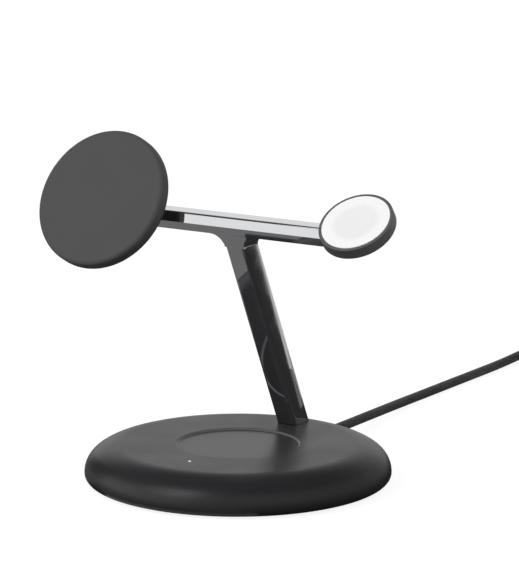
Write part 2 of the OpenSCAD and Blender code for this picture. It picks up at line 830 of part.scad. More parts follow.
module power_lead() {
  color("#7a1f1f")
    wire([[0, relief_in_y, cord_z], [board_x * 0.1, relief_in_y - 1.6, cord_z + 0.7],
      [socket_x + 1, relief_in_y - 3.2, lead_z + 0.1], [socket_x + 6, relief_in_y - 7.4, lead_z + 0.1],
      [socket_x + 10, stem_foot_y - 3, lead_z], [board_x, stem_foot_y - 19, lead_z],
      [board_x, board_back_y + 10, lead_z], [power_connector_x + 5, board_back_y + 3.5, lead_z],
      [power_connector_x, board_back_y + 1, plug_side_z],
      [power_connector_x, board_back_y - 0.5, plug_side_z]], power_lead_r, 2);
}

// Thin wires from the base to a puck: side is -1 for the left and 1 for the right
function stem_route(side, far_x) = [
  [side * connector_x, board_back_y - 0.5, plug_side_z],
  [side * connector_x, board_back_y + 1, plug_side_z],
  [side * connector_x, board_back_y + 4, lead_z], [side * 3, socket_front_y - 11, lead_z],
  [side * lead_x, socket_front_y - 4, slot_z], [side * lead_x, stem_y(slot_z), slot_z],
  [side * lead_x, bar_y, bar_z], [side * far_x, bar_y, bar_z]
];

module phone_lead() {
  z = phone_spigot_end + 0.5;
  color("#34363a") {
    wire(concat(stem_route(-1, phone_x), [[-phone_x, bar_y, bar_z] + 12.6
      * [0, -cos(phone_tilt), sin(phone_tilt)]]), lead_r, 1.2);
    at_phone() wire([[0, 0, -1.5], [0, 0, z], [phone_board_in, 0, z]], 0.4, 0.4);
  }
}

module watch_lead() {
  z = watch_spigot_end + 0.42;
  color("#34363a") {
    wire(concat(stem_route(1, watch_x), [[watch_x, bar_y, bar_z] + 6.2
      * [0, -cos(watch_tilt), sin(watch_tilt)]]), lead_r, 1.2);
    at_watch() wire([[0, 0, -1.5], [0, 0, z], [7.5, 0, z],
      [7.5, 0, watch_floor + watch_board_t]], 0.33, 0.3);
  }
}

module phone_front_shell() {
  h = phone_t / 2;
  color("#4a4a4c")
    at_phone()
      difference() {
        rotate_extrude($fn = 144)
          rounded_outline_half([[0, phone_seam], [phone_r, phone_seam], [phone_r, h], [0, h]],
            [0, 0, phone_front_r, 0]);
        translate([0, 0, phone_seam - 1])
          cylinder(h = phone_roof - phone_seam + 1, r = phone_in_r, $fn = 144);
      }
}

// Rounded outline kept inside its own straight one, for corners wider than the piece is thick
module rounded_outline_half(p, r) {
  intersection() {
    rounded_outline(p, r);
    polygon(p);
  }
}

module phone_back_plate() {
  lip = phone_in_r - fit_gap;
  color("#39393b")
    at_phone()
      difference() {
        union() {
          rotate_extrude($fn = 144)
            rounded_outline_half([[0, phone_z0], [phone_r, phone_z0], [phone_r, phone_seam],
              [0, phone_seam]], [0, phone_back_r - 0.01, 0, 0]);
          translate([0, 0, phone_seam - 0.2]) cylinder(h = 1.4, r = lip, $fn = 144);
        }
        translate([0, 0, phone_floor]) cylinder(h = 20, r = lip - 1.1, $fn = 144);
        translate([0, 0, -20]) cylinder(h = 40, r = phone_spigot_r + fit_gap);
      }
}

module phone_coil() {
  color("#b06a35")
    at_phone() translate([0, 0, phone_coil_z]) ring(phone_coil_out, phone_coil_in, coil_t);
}

module phone_ferrite() {
  color("#3a3a3d")
    at_phone() translate([0, 0, phone_ferrite_z]) cylinder(h = ferrite_t, r = phone_ferrite_r);
}

module phone_magnets() {
  turn = 360 / magnet_count;
  color("#a7a9ac")
    at_phone()
      for (i = [0:magnet_count - 1])
        rotate([0, 0, i * turn + 1]) translate([0, 0, phone_roof - phone_magnet_t])
          rotate_extrude(angle = turn - 2)
            translate([magnet_in_r, 0]) square([magnet_out_r - magnet_in_r, phone_magnet_t]);
}

module phone_magnet_shield() {
  color("#8f9194")
    at_phone() translate([0, 0, phone_roof - phone_magnet_t - shield_t])
      ring(magnet_out_r + shield_lip, magnet_in_r - shield_lip, shield_t);
}

module phone_board() {
  color("#1f5a3a")
    at_phone() translate([0, 0, phone_ferrite_z - phone_board_t])
      ring(phone_board_out, phone_board_in, phone_board_t);
}

module phone_board_chips() {
  z = phone_ferrite_z - phone_board_t;
  color("#232426")
    at_phone() {
      translate([-13.5, 0, z - 0.8]) rounded_box(5, 5, 0.8, 0.3);
      translate([3, 13.5, z - 0.8]) rounded_box(4, 4, 0.8, 0.3);
      translate([6, -12.5, z - 0.7]) rounded_box(3, 4, 0.7, 0.3);
    }
}

module phone_neck_nut() {
  color("#9c9ea1")
    at_phone() translate([0, 0, phone_floor])
      difference() {
        cylinder(h = phone_nut_h, r = 6.6, $fn = 6);
        translate([0, 0, -1]) cylinder(h = 4, r = phone_spigot_r + screw_gap);
      }
}

module watch_housing() {
  h = watch_t / 2;
  color("#2e2e30")
    at_watch()
      difference() {
        rotate_extrude($fn = 144)
          rounded_outline_half([[0, watch_z0], [watch_r, watch_z0], [watch_r, h], [0, h]],
            [0, 1.2, 0.35, 0]);
        translate([0, 0, watch_floor]) cylinder(h = 20, r = watch_in_r, $fn = 144);
        translate([0, 0, disc_seat]) cylinder(h = 20, r = disc_r + fit_gap, $fn = 144);
        translate([0, 0, -20]) cylinder(h = 30, r = watch_spigot_r + fit_gap);
      }
}

module watch_disc() {
  bowl = (dish_r * dish_r + dish_depth * dish_depth) / (2 * dish_depth);
  color("#f4f4f4")
    at_watch()
      difference() {
        rotate_extrude($fn = 144)
          rounded_outline_half([[0, disc_seat], [disc_r, disc_seat], [disc_r, disc_top],
            [0, disc_top]], [0, 0, 0.3, 0]);
        translate([0, 0, disc_top - dish_depth + bowl]) sphere(r = bowl, $fn = 240);
      }
}

module watch_coil() {
  color("#b06a35")
    at_watch() translate([0, 0, watch_coil_z]) ring(watch_coil_out, watch_coil_in, watch_coil_t);
}

module watch_ferrite() {
  color("#3a3a3d")
    at_watch() translate([0, 0, watch_ferrite_z]) cylinder(h = watch_ferrite_t, r = watch_ferrite_r);
}

module watch_magnet() {
  color("#a7a9ac")
    at_watch() translate([0, 0, watch_coil_z]) cylinder(h = watch_coil_t, r = watch_magnet_r);
}

module watch_board() {
  color("#1f5a3a")
    at_watch() translate([0, 0, watch_floor]) ring(watch_board_out, watch_board_in, watch_board_t);
}

module watch_neck_nut() {
  color("#9c9ea1")
    at_watch() translate([0, 0, watch_floor])
      difference() {
        cylinder(h = watch_nut_h, r = 5, $fn = 6);
        translate([0, 0, -1]) cylinder(h = 4, r = watch_spigot_r + screw_gap);
      }
}

module cord() {
  color("#2f2f31") {
    tube(smooth_path(cord_points, 2), cord_r, 12);
    tube(smooth_path(tail_points, 2), cord_r, 12);
  }
}

module bundle_outline(grow) {
  a = coil_half_w + grow;
  rounded_outline([[-a, -grow], [a, -grow], [a, coil_h + grow], [-a, coil_h + grow]],
    [2.1 + grow, 2.1 + grow, 2.1 + grow, 2.1 + grow]);
}

module cord_coil() {
  color("#2f2f31") {
    translate([coil_x, coil_y, coil_z])
      rotate_extrude() translate([coil_mid_r, 0]) bundle_outline(0);
    translate([coil_in_x, coil_in_y, coil_in_z]) rotate([-90, 0, 0])
      cylinder(h = coil_y - coil_in_y, r = cord_r, $fn = 32);
    translate([coil_out_x, coil_out_y, coil_out_z]) rotate([-90, 0, 0])
      cylinder(h = coil_y - coil_out_y, r = cord_r, $fn = 32);
  }
}

module cord_tie() {
  color("#151516")
    translate([coil_x, coil_y, coil_z]) rotate([0, 0, 78])
      rotate_extrude(angle = 24)
        translate([coil_mid_r, 0])
          difference() {
            bundle_outline(tie_gap + tie_t);
            bundle_outline(tie_gap);
          }
}

module plug_shell() {
  color("#26262a")
    translate([coil_out_x, plug_y, plug_z]) rotate([90, 0, 0]) {
      translate([0, 0, 7]) linear_extrude(19)
        rounded_outline([[-5.9, -3.1], [5.9, -3.1], [5.9, 3.1], [-5.9, 3.1]], [2.6, 2.6, 2.6, 2.6]);
      cylinder(h = 7, r1 = 2.7, r2 = 3);
    }
}

module plug_tip() {
  color("#c3c5c8")
    translate([coil_out_x, plug_y - 26, plug_z]) rotate([90, 0, 0])
      difference() {
        linear_extrude(6.6)
          rounded_outline([[-4.15, -1.2], [4.15, -1.2], [4.15, 1.2], [-4.15, 1.2]],
            [1.15, 1.15, 1.15, 1.15]);
        translate([0, 0, 0.8]) linear_extrude(8)
          rounded_outline([[-3.75, -0.8], [3.75, -0.8], [3.75, 0.8], [-3.75, 0.8]],
            [0.75, 0.75, 0.75, 0.75]);
      }
}

base_top_shell();
base_bottom_cover();
foot_pad();
ballast_plate();
base_screws();
ballast_screws();
socket_screws();
arm_socket();
clamp_screws();
arm_casting();
main_circuit_board();
board_spacers();
board_screws();
control_chips();
power_inductors();
capacitors();
lead_connectors();
status_led();
led_light_guide();
earbud_coil();
earbud_ferrite();
earbud_coil_carrier();
earbud_lead();
strain_relief();
power_lead();
phone_lead();
watch_lead();
phone_front_shell();
phone_back_plate();
phone_coil();
phone_ferrite();
phone_magnets();
phone_magnet_shield();
phone_board();
phone_board_chips();
phone_neck_nut();
watch_housing();
watch_disc();
watch_coil();
watch_ferrite();
watch_magnet();
watch_board();
watch_neck_nut();
cord();
cord_coil();
cord_tie();
plug_shell();
plug_tip();
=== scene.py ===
"""Looks of a wireless charging stand: a round weighted base with a leaning polished T arm, a
large phone puck, a small watch puck and a braided supply cord.

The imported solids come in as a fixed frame. Hard parts whose solids have the right shape keep
them and get their finish here. The cord, its tie, the plug and the strain relief are modelled
here and stand for their solids. The scene is in metres, with the origin on the table under the
middle of the base, X along the arm's bar and the front at -Y. Sizes are typed in millimetres.
"""

import logging
import math
from abc import ABC, abstractmethod
from dataclasses import dataclass, field, replace
from enum import Enum
from typing import Any, Optional, Sequence

import bmesh
import bpy
from mathutils import Matrix, Quaternion, Vector


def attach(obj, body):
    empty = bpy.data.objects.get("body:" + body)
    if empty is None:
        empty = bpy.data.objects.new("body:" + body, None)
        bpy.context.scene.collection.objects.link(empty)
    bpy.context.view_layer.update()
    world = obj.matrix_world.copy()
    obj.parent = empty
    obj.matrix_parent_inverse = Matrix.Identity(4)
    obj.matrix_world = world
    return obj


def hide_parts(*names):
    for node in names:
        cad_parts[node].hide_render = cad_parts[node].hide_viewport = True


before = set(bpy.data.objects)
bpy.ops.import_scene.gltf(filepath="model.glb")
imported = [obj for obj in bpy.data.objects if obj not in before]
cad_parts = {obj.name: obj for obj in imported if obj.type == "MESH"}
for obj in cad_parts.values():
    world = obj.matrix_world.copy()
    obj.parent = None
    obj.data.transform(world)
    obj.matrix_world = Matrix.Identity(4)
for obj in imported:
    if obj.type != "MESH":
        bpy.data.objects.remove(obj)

LOG = logging.getLogger("charging_stand")
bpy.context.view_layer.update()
MM = 0.001
# Radians of wave that the wave node makes per unit of distance at a scale of 1.
WAVE_RADIANS = 20.0
Point = tuple[float, float, float]
Outline = list[tuple[float, float]]
Tree = bpy.types.NodeTree
Socket = bpy.types.NodeSocket
BMesh = bmesh.types.BMesh


def mm(x: float, y: float, z: float) -> Vector:
    """Returns a point given in millimetres as a vector in metres."""
    return Vector((x, y, z)) * MM


def linear(code: str) -> tuple[float, float, float, float]:
    """Turns an sRGB hex colour into the linear colour that the shaders take.

    Args:
        code: The colour, such as "#2a2a2c".

    Returns:
        Linear red, green and blue, and an alpha of 1.
    """
    parts = [int(code[i : i + 2], 16) / 255 for i in (1, 3, 5)]
    red, green, blue = (p / 12.92 if p <= 0.04045 else ((p + 0.055) / 1.055) ** 2.4 for p in parts)
    return red, green, blue, 1.0


def add_node(
    tree: Tree,
    kind: str,
    inputs: Optional[dict[str | int, Any]] = None,
    out: str | int = 0,
    **settings: Any,
) -> Optional[Socket]:
    """Adds one node to a tree with its settings, values and links.

    Args:
        tree: The node tree that gets the node.
        kind: The node's type without its first word, such as "TexNoise".
        inputs: Socket name or number, and the value or the output socket that it takes.
        out: Name or number of the output that is wanted.
        **settings: Properties of the node itself.

    Returns:
        That output's socket, or None for a node without outputs.
    """
    node = tree.nodes.new(f"ShaderNode{kind}")
    for key, value in settings.items():
        setattr(node, key, value)
    for key, value in (inputs or {}).items():
        if isinstance(value, Socket):
            tree.links.new(value, node.inputs[key])
        else:
            node.inputs[key].default_value = value
    return node.outputs[out] if node.outputs else None


def new_material(name: str) -> tuple[bpy.types.Material, Tree]:
    """Makes a material whose node tree is empty.

    Args:
        name: Name of the material.

    Returns:
        The material and its tree.
    """
    material = bpy.data.materials.new(name)
    material.use_nodes = True
    material.node_tree.nodes.clear()
    return material, material.node_tree


class Pattern(Enum):
    """How a surface was made, which settles the marks on it."""

    MOULDED = "spark-eroded mould grain"
    CAST = "die-cast skin"
    ROLLED = "rolled and stamped sheet"
    TURNED = "fine turning rings"
    WOUND = "turns of wire round the piece's own axis"
    ETCHED = "copper tracks under solder mask"
    PRESSED = "pressed powder"


@dataclass(frozen=True)
class Place:
    """The axis of a round piece, which its rings follow.

    Attributes:
        centre: A point on the axis, in millimetres.
        turn: Turn of the axis about X from upright, in degrees.
    """

    centre: Point = (0.0, 0.0, 0.0)
    turn: float = 0.0

    def coordinates(self, tree: Tree) -> Socket:
        """Adds coordinates whose Z runs along the axis.

        Args:
            tree: The material's tree.

        Returns:
            The socket that gives them, in metres.
        """
        coords = add_node(tree, "TexCoord", out="Object")
        turned = {"Vector": coords, "Location": mm(*self.centre), "Rotation": (math.radians(self.turn), 0, 0)}
        return add_node(tree, "Mapping", turned, vector_type="TEXTURE")

    def distance(self, tree: Tree) -> Socket:
        """Adds the distance from the axis.

        Args:
            tree: The material's tree.

        Returns:
            The socket that gives it, in metres.
        """
        across = {0: self.coordinates(tree), 1: (1, 1, 0)}
        flat = add_node(tree, "VectorMath", across, operation="MULTIPLY")
        return add_node(tree, "VectorMath", {0: flat}, operation="LENGTH", out=1)


@dataclass(frozen=True)
class Coat(ABC):
    """What all finishes share: one shader, in a material named for its slot.

    Attributes:
        slot: The record's material slot.
        place: The axis that rings follow.
    """

    slot: str
    place: Place = field(default=Place(), kw_only=True)

    @abstractmethod
    def surface(self, tree: Tree) -> dict[str, Any]:
        """Adds the nodes of the finish.

        Args:
            tree: The material's tree.

        Returns:
            The values and sockets that the shader takes.
        """

    def build(self) -> bpy.types.Material:
        """Makes the material.

        Returns:
            The new material.
        """
        material, tree = new_material(f"{self.slot}_finish")
        shader = add_node(tree, "BsdfPrincipled", self.surface(tree))
        add_node(tree, "OutputMaterial", {"Surface": shader})
        return material


@dataclass(frozen=True)
class Finish(Coat):
    """A finish with the marks that its making leaves.

    Attributes:
        colour: Main colour, sRGB hex.
        second: Colour of the mottling or of the marks, sRGB hex.
        roughness: Middle roughness.
        spread: How far the roughness varies either way.
        mark_mm: Real size of one mark or of one grain.
        relief_mm: Depth of the marks.
        pattern: The kind of marks.
        metallic: 1 for a bare metal, 0 otherwise.
        ior: Index of refraction, which a metal leaves at its default.
        mottle: Share of the second colour at its strongest.
        broad_mm: Size of the faint unevenness of the gloss.
    """

    colour: str
    second: str
    roughness: float
    spread: float
    mark_mm: float
    relief_mm: float
    pattern: Pattern = Pattern.MOULDED
    metallic: float = 0.0
    ior: float = 1.5
    mottle: float = 0.5
    broad_mm: float = 20.0

    def marks(self, tree: Tree) -> Socket:
        """Adds the marks.

        Args:
            tree: The material's tree.

        Returns:
            A socket that runs from 0 to 1 over each mark.
        """
        coords = add_node(tree, "TexCoord", out="Object")
        grains = 1 / (self.mark_mm * MM)
        if self.pattern in (Pattern.TURNED, Pattern.WOUND):
            rings = {"Vector": self.place.coordinates(tree), "Scale": grains * math.tau / WAVE_RADIANS}
            rings["Distortion"] = 0.0 if self.pattern is Pattern.WOUND else 0.6
            return add_node(tree, "TexWave", rings, wave_type="RINGS", rings_direction="Z", out=1)
        if self.pattern is Pattern.ETCHED:
            board = add_node(tree, "Mapping", {"Vector": coords, "Scale": (grains, grains, grains)})
            tracks = {"Vector": board, "Scale": 1.0, "Brick Width": 6.0, "Row Height": 1.0}
            tracks |= {"Mortar Size": 0.18, "Mortar Smooth": 0.3}
            return add_node(tree, "TexBrick", tracks, out=1)
        if self.pattern is Pattern.ROLLED:
            coords = add_node(tree, "Mapping", {"Vector": coords, "Scale": (0.06, 1.0, 1.0)})
        detail = {Pattern.MOULDED: 2.0, Pattern.ROLLED: 3.0, Pattern.CAST: 4.0, Pattern.PRESSED: 5.0}
        noise = {"Vector": coords, "Scale": grains, "Detail": detail[self.pattern]}
        return add_node(tree, "TexNoise", noise)

    def surface(self, tree: Tree) -> dict[str, Any]:
        """Adds the marks, the mottling and the uneven gloss.

        Args:
            tree: The material's tree.

        Returns:
            The values and sockets that the shader takes.
        """
        marks = self.marks(tree)
        coords = add_node(tree, "TexCoord", out="Object")
        broad = {"Vector": coords, "Scale": 1 / (self.broad_mm * MM), "Detail": 2.0}
        gloss = {"Value": add_node(tree, "TexNoise", broad), "From Min": 0.3, "From Max": 0.7}
        gloss |= {"To Min": self.roughness - self.spread, "To Max": self.roughness + self.spread}
        share = {"Value": marks, "From Min": 0.35, "From Max": 0.7, "To Max": self.mottle}
        blend = {0: add_node(tree, "MapRange", share)}
        blend |= {6: linear(self.colour), 7: linear(self.second)}
        bump = {"Height": marks, "Distance": self.relief_mm * MM, "Strength": 1.0}
        values = {
            "Base Color": add_node(tree, "Mix", blend, data_type="RGBA", out=2),
            "Roughness": add_node(tree, "MapRange", gloss),
            "Normal": add_node(tree, "Bump", bump),
            "Metallic": self.metallic,
        }
        return values if self.metallic else values | {"IOR": self.ior}


@dataclass(frozen=True)
class BareMetal(Finish):
    """A finish of bare metal."""

    metallic: float = 1.0


@dataclass(frozen=True)
class RecessedShell(Finish):
    """The base's finish with the marks of its recess.

    The recess's floor is smoother than the rest of the top, so it mirrors the stem more sharply.
    Its wall is painted paler: a painted highlight over the wall's shade, which the eye sees as a faint line.

    Attributes:
        recess_mm: Radius of the recess.
        floor_roughness: Roughness of the recess's floor.
        wall: Colour of the painted highlight on the recess's wall, sRGB hex.
        wall_mm: Middle radius of the wall's painted highlight and half its width.
        wall_top_mm: Height at which the painted highlight ends, just under the top.
    """

    recess_mm: float = 26.2
    floor_roughness: float = 0.33
    wall: str = "#5c5c5d"
    wall_mm: tuple[float, float] = (26.25, 0.55)
    wall_top_mm: float = 15.96

    def surface(self, tree: Tree) -> dict[str, Any]:
        """Adds the painted highlight on the wall and the smoother floor to the finish.

        Args:
            tree: The material's tree.

        Returns:
            The values and sockets that the shader takes.
        """
        values = super().surface(tree)
        radius = self.place.distance(tree)
        # Painted highlight: the band of the recess's wall, below the top, takes a paler colour over its
        # shade.
        middle, reach = self.wall_mm
        band = {0: radius, 1: middle * MM, 2: reach * MM}
        ring = add_node(tree, "Math", band, operation="COMPARE")
        height = add_node(tree, "SeparateXYZ", {0: self.place.coordinates(tree)}, out=2)
        under = {0: height, 1: self.wall_top_mm * MM}
        low = add_node(tree, "Math", under, operation="LESS_THAN")
        wall = add_node(tree, "Math", {0: ring, 1: low}, operation="MULTIPLY")
        blend = {0: wall, 6: values["Base Color"], 7: linear(self.wall)}
        values["Base Color"] = add_node(tree, "Mix", blend, data_type="RGBA", out=2)
        within = {0: radius, 1: self.recess_mm * MM}
        inside = add_node(tree, "Math", within, operation="LESS_THAN")
        gloss = {0: inside, 2: values["Roughness"], 3: self.floor_roughness}
        values["Roughness"] = add_node(tree, "Mix", gloss)
        return values


@dataclass(frozen=True)
class MirrorPlating(Coat):
    """Bright chromium over nickel on the polished zinc arm.

    A near mirror: the eye sees the studio in it, a trace of haze where it was wiped and almost
    no colour of its own. The marks of the polishing are too fine to show.
    """

    slot: str = "polished_arm"
    colour: str = "#e0e0e2"
    haze: str = "#d5d6d8"
    roughness: float = 0.02
    wiped: float = 0.045
    wipe_mm: float = 12.0

    def surface(self, tree: Tree) -> dict[str, Any]:
        """Adds the wiping marks.

        Args:
            tree: The material's tree.

        Returns:
            The values and sockets that the shader takes.
        """
        coords = add_node(tree, "TexCoord", out="Object")
        wipes = add_node(tree, "Mapping", {"Vector": coords, "Scale": (0.35, 1.0, 1.0)})
        noise = {"Vector": wipes, "Scale": 1 / (self.wipe_mm * MM), "Detail": 3.0}
        haze = add_node(tree, "TexNoise", noise)
        blend = {0: haze, 6: linear(self.colour), 7: linear(self.haze)}
        gloss = {"Value": haze, "From Min": 0.3, "From Max": 0.7}
        gloss |= {"To Min": self.roughness, "To Max": self.wiped}
        return {
            "Base Color": add_node(tree, "Mix", blend, data_type="RGBA", out=2),
            "Metallic": 1.0,
            "Roughness": add_node(tree, "MapRange", gloss),
        }


@dataclass(frozen=True)
class Braid(Coat):
    """Polyester braid over the cord: two sets of yarns that cross in small diamonds.

    Near black with paler flecks where a yarn catches the light. The real yarns are 0.5 mm
    apart, too fine to show, so they are drawn 0.9 mm apart: a set has as many yarns as there are
    carriers, and a yarn takes one carrier's place in each pitch along the cord.
    """

    slot: str = "cord_braid"
    yarn: str = "#18181a"
    fleck: str = "#6a6a6e"
    carriers: int = 15
    pitch_mm: float = 1.9
    relief_mm: float = 0.35

    def surface(self, tree: Tree) -> dict[str, Any]:
        """Adds the yarns, which follow the piece's own UV map.

        Args:
            tree: The material's tree.

        Returns:
            The values and sockets that the shader takes.
        """
        uv = add_node(tree, "UVMap", uv_map="UVMap")
        length, round_share = (add_node(tree, "SeparateXYZ", {0: uv}, out) for out in (0, 1))
        pitches = {0: length, 1: 1 / (self.pitch_mm * MM)}
        along = add_node(tree, "Math", pitches, operation="MULTIPLY")
        sets, cells = [], []
        for hand in (1.0, -1.0):
            helix = {0: round_share, 1: hand * self.carriers, 2: along}
            turn = add_node(tree, "Math", helix, operation="MULTIPLY_ADD")
            angle = add_node(tree, "Math", {0: turn, 1: math.pi}, operation="MULTIPLY")
            wave = add_node(tree, "Math", {0: angle}, operation="SINE")
            sets.append(add_node(tree, "Math", {0: wave}, operation="ABSOLUTE"))
            cells.append(add_node(tree, "Math", {0: turn}, operation="FLOOR"))
        height = add_node(tree, "Math", {0: sets[0], 1: sets[1]}, operation="MULTIPLY")
        cell = add_node(tree, "CombineXYZ", {0: cells[0], 1: cells[1]})
        chance = add_node(tree, "TexWhiteNoise", {0: cell}, noise_dimensions="3D")
        pale = {"Value": chance, "From Min": 0.45, "From Max": 1.0, "To Max": 0.8}
        fleck = add_node(tree, "MapRange", pale)
        shown = add_node(tree, "Math", {0: fleck, 1: height}, operation="MULTIPLY")
        blend = {0: shown, 6: linear(self.yarn), 7: linear(self.fleck)}
        gloss = {"Value": chance, "To Min": 0.55, "To Max": 0.8}
        bump = {"Height": height, "Distance": self.relief_mm * MM, "Strength": 0.8}
        return {
            "Base Color": add_node(tree, "Mix", blend, data_type="RGBA", out=2),
            "Roughness": add_node(tree, "MapRange", gloss),
            "Normal": add_node(tree, "Bump", bump),
            "Sheen Weight": 0.15,
        }


@dataclass(frozen=True)
class Weave(Coat):
    """Woven nylon tape of the hook-and-loop tie: fine cross ribs and a fuzzy, dull face."""

    slot: str = "tie_fabric"
    yarn: str = "#1a1a1b"
    crown: str = "#37373a"
    rib_mm: float = 0.9
    relief_mm: float = 0.2

    def surface(self, tree: Tree) -> dict[str, Any]:
        """Adds the ribs, which follow the piece's own UV map.

        Args:
            tree: The material's tree.

        Returns:
            The values and sockets that the shader takes.
        """
        uv = add_node(tree, "UVMap", uv_map="UVMap")
        rows = {"Vector": uv, "Scale": math.tau / WAVE_RADIANS / (self.rib_mm * MM), "Distortion": 1.5}
        ribs, cross = (add_node(tree, "TexWave", rows, bands_direction=way, out=1) for way in "XY")
        height = add_node(tree, "Math", {0: ribs, 1: cross}, operation="MULTIPLY")
        blend = {0: height, 6: linear(self.yarn), 7: linear(self.crown)}
        gloss = {"Value": height, "To Min": 0.9, "To Max": 0.7}
        return {
            "Base Color": add_node(tree, "Mix", blend, data_type="RGBA", out=2),
            "Roughness": add_node(tree, "MapRange", gloss),
            "Normal": add_node(tree, "Bump", {"Height": height, "Distance": self.relief_mm * MM}),
            "Sheen Weight": 0.3,
        }


@dataclass(frozen=True)
class LitGuide(Coat):
    """Clear acrylic light guide, lit white from below by the status light, with fine scuffs."""

    slot: str = "light_guide"
    colour: str = "#f4f7fa"
    glow: float = 0.28
    scuff_mm: float = 0.3

    def surface(self, tree: Tree) -> dict[str, Any]:
        """Adds the scuffs.

        Args:
            tree: The material's tree.

        Returns:
            The values and sockets that the shader takes.
        """
        coords = add_node(tree, "TexCoord", out="Object")
        haze = add_node(tree, "TexNoise", {"Vector": coords, "Scale": 1 / (self.scuff_mm * MM)})
        return {
            "Base Color": linear(self.colour),
            "Roughness": add_node(tree, "MapRange", {"Value": haze, "To Min": 0.1, "To Max": 0.3}),
            "IOR": 1.49,
            "Emission Color": linear(self.colour),
            "Emission Strength": self.glow,
        }


@dataclass(frozen=True)
class PolishedDisc(Coat):
    """White polycarbonate charging disc: polished, with a middle that cups the watch.

    The hollow is rubbed a little duller by the watches, and a painted shade makes it a little greyer:
    a soft round shade inside a brighter rim.

    Attributes:
        rim: Colour of the rim, sRGB hex.
        cup_shade: Colour of the painted shade in the hollow, sRGB hex.
        cup_mm: Radius at which the painted shade of the hollow has faded by half.
        fade_mm: How far the fading reaches either way.
        wear_mm: Size of the marks of wear.
    """

    slot: str = "watch_white"
    rim: str = "#f6f6f6"
    cup_shade: str = "#ececed"
    cup_mm: float = 9.6
    fade_mm: float = 1.6
    wear_mm: float = 3.0

    def surface(self, tree: Tree) -> dict[str, Any]:
        """Adds the painted shade of the hollow and its wear.

        Args:
            tree: The material's tree.

        Returns:
            The values and sockets that the shader takes.
        """
        # Painted shade: the hollow is greyer, fading out towards the rim.
        near, far = (self.cup_mm - self.fade_mm) * MM, (self.cup_mm + self.fade_mm) * MM
        fade = {"Value": self.place.distance(tree), "From Min": near, "From Max": far}
        outside = add_node(tree, "MapRange", fade, interpolation_type="SMOOTHSTEP")
        blend = {0: outside, 6: linear(self.cup_shade), 7: linear(self.rim)}
        coords = add_node(tree, "TexCoord", out="Object")
        noise = {"Vector": coords, "Scale": 1 / (self.wear_mm * MM), "Detail": 4.0}
        wear = add_node(tree, "TexNoise", noise)
        rubbed = add_node(tree, "MapRange", {"Value": outside, "To Min": 0.38, "To Max": 0.2})
        rough = {0: wear, 1: 0.06, 2: rubbed}
        return {
            "Base Color": add_node(tree, "Mix", blend, data_type="RGBA", out=2),
            "Roughness": add_node(tree, "Math", rough, operation="MULTIPLY_ADD"),
            "IOR": 1.58,
        }


PHONE_AXIS = Place((-60.0, -12.7, 117.3), 60.8)
WATCH_AXIS = Place((61.8, -5.0, 116.6), 37.0)

# Satin black ABS of the base, moulded with a fine spark-eroded grain: soft, slightly blurred reflections
# that grow bright at a shallow angle, and a paler painted highlight on the recess's wall.
BASE_SHELL = RecessedShell("base_shell", "#222224", "#262628", 0.37, 0.02, 0.35, 0.004, ior=1.48, mottle=0.6)
# Black ABS lower cover, moulded coarser and duller than the shell.
UNDER_COVER = Finish("under_cover", "#232325", "#29292b", 0.55, 0.05, 0.5, 0.02)
# Black silicone rubber pad: dull, faintly dusty.
FOOT_RUBBER = Finish("foot_rubber", "#1b1b1c", "#262627", 0.82, 0.06, 0.4, 0.03, ior=1.41)
# Zinc die casting, left as cast inside the base.
CAST_ZINC = BareMetal("cast_zinc", "#a3a5a8", "#8c8e92", 0.45, 0.1, 0.6, 0.03, Pattern.CAST)
# Cold-rolled steel plate with zinc plating: long faint rolling lines.
BALLAST_STEEL = BareMetal("ballast_steel", "#9a9da1", "#85888c", 0.38, 0.08, 0.5, 0.01, Pattern.ROLLED)
# Zinc-plated screws, turned.
SCREW_STEEL = BareMetal("screw_steel", "#a8aaad", "#8e9194", 0.3, 0.06, 0.25, 0.006, Pattern.TURNED)
# Turned brass spacers.
SPACER_BRASS = BareMetal("spacer_brass", "#c2a45c", "#a98a45", 0.28, 0.05, 0.3, 0.006, Pattern.TURNED)
# Glass-epoxy laminate under green solder mask, with the tracks showing as paler lines.
BOARD_LAMINATE = Finish("board_laminate", "#174a2c", "#2c7044", 0.4, 0.05, 0.8, 0.02, Pattern.ETCHED)
# Epoxy moulding compound of the chips: matt black.
CHIP_PLASTIC = Finish("chip_plastic", "#1e1e20", "#2a2a2c", 0.6, 0.05, 0.12, 0.01)
# Drawn aluminium capacitor cans.
CAPACITOR_CAN = BareMetal("capacitor_can", "#c4c7ca", "#aeb1b5", 0.3, 0.06, 0.3, 0.006, Pattern.TURNED)
# Natural nylon of the connectors and the coil carrier: ivory, slightly waxy.
CONNECTOR_NYLON = Finish("connector_nylon", "#dcd7c6", "#cfc9b6", 0.45, 0.05, 0.4, 0.01, ior=1.53)
# Enamelled copper litz wire, wound flat: a ring for each turn.
COIL_COPPER = BareMetal("coil_copper", "#b4652f", "#7d3f1c", 0.35, 0.06, 0.7, 0.12, Pattern.WOUND)
# Sintered ferrite sheet: dark grey pressed powder.
FERRITE = Finish("ferrite", "#353538", "#454549", 0.6, 0.06, 0.2, 0.01, Pattern.PRESSED)
# Nickel-plated magnets and their shield: pale, slightly warm metal.
MAGNET_NICKEL = BareMetal("magnet_nickel", "#b9b5ab", "#a39f95", 0.25, 0.06, 0.4, 0.006, Pattern.PRESSED)
# Clear epoxy of the status light's body.
LED_EPOXY = Finish("led_epoxy", "#f0ead2", "#e6dfc2", 0.25, 0.05, 0.2, 0.005, ior=1.52)
# PVC sleeves of the inner leads.
LEAD_VINYL = Finish("lead_vinyl", "#3a2022", "#4a2a2c", 0.45, 0.06, 0.6, 0.02)
# Soft-touch silicone skin of the phone puck: even, dull dark grey.
PHONE_FACE = Finish("phone_face", "#49494a", "#4c4c4d", 0.58, 0.03, 0.25, 0.004, ior=1.4, mottle=0.6)
# The same silicone over the puck's back.
PHONE_BACK = Finish("phone_back", "#3a3a3b", "#3e3e3f", 0.55, 0.03, 0.25, 0.004, ior=1.4, mottle=0.6)
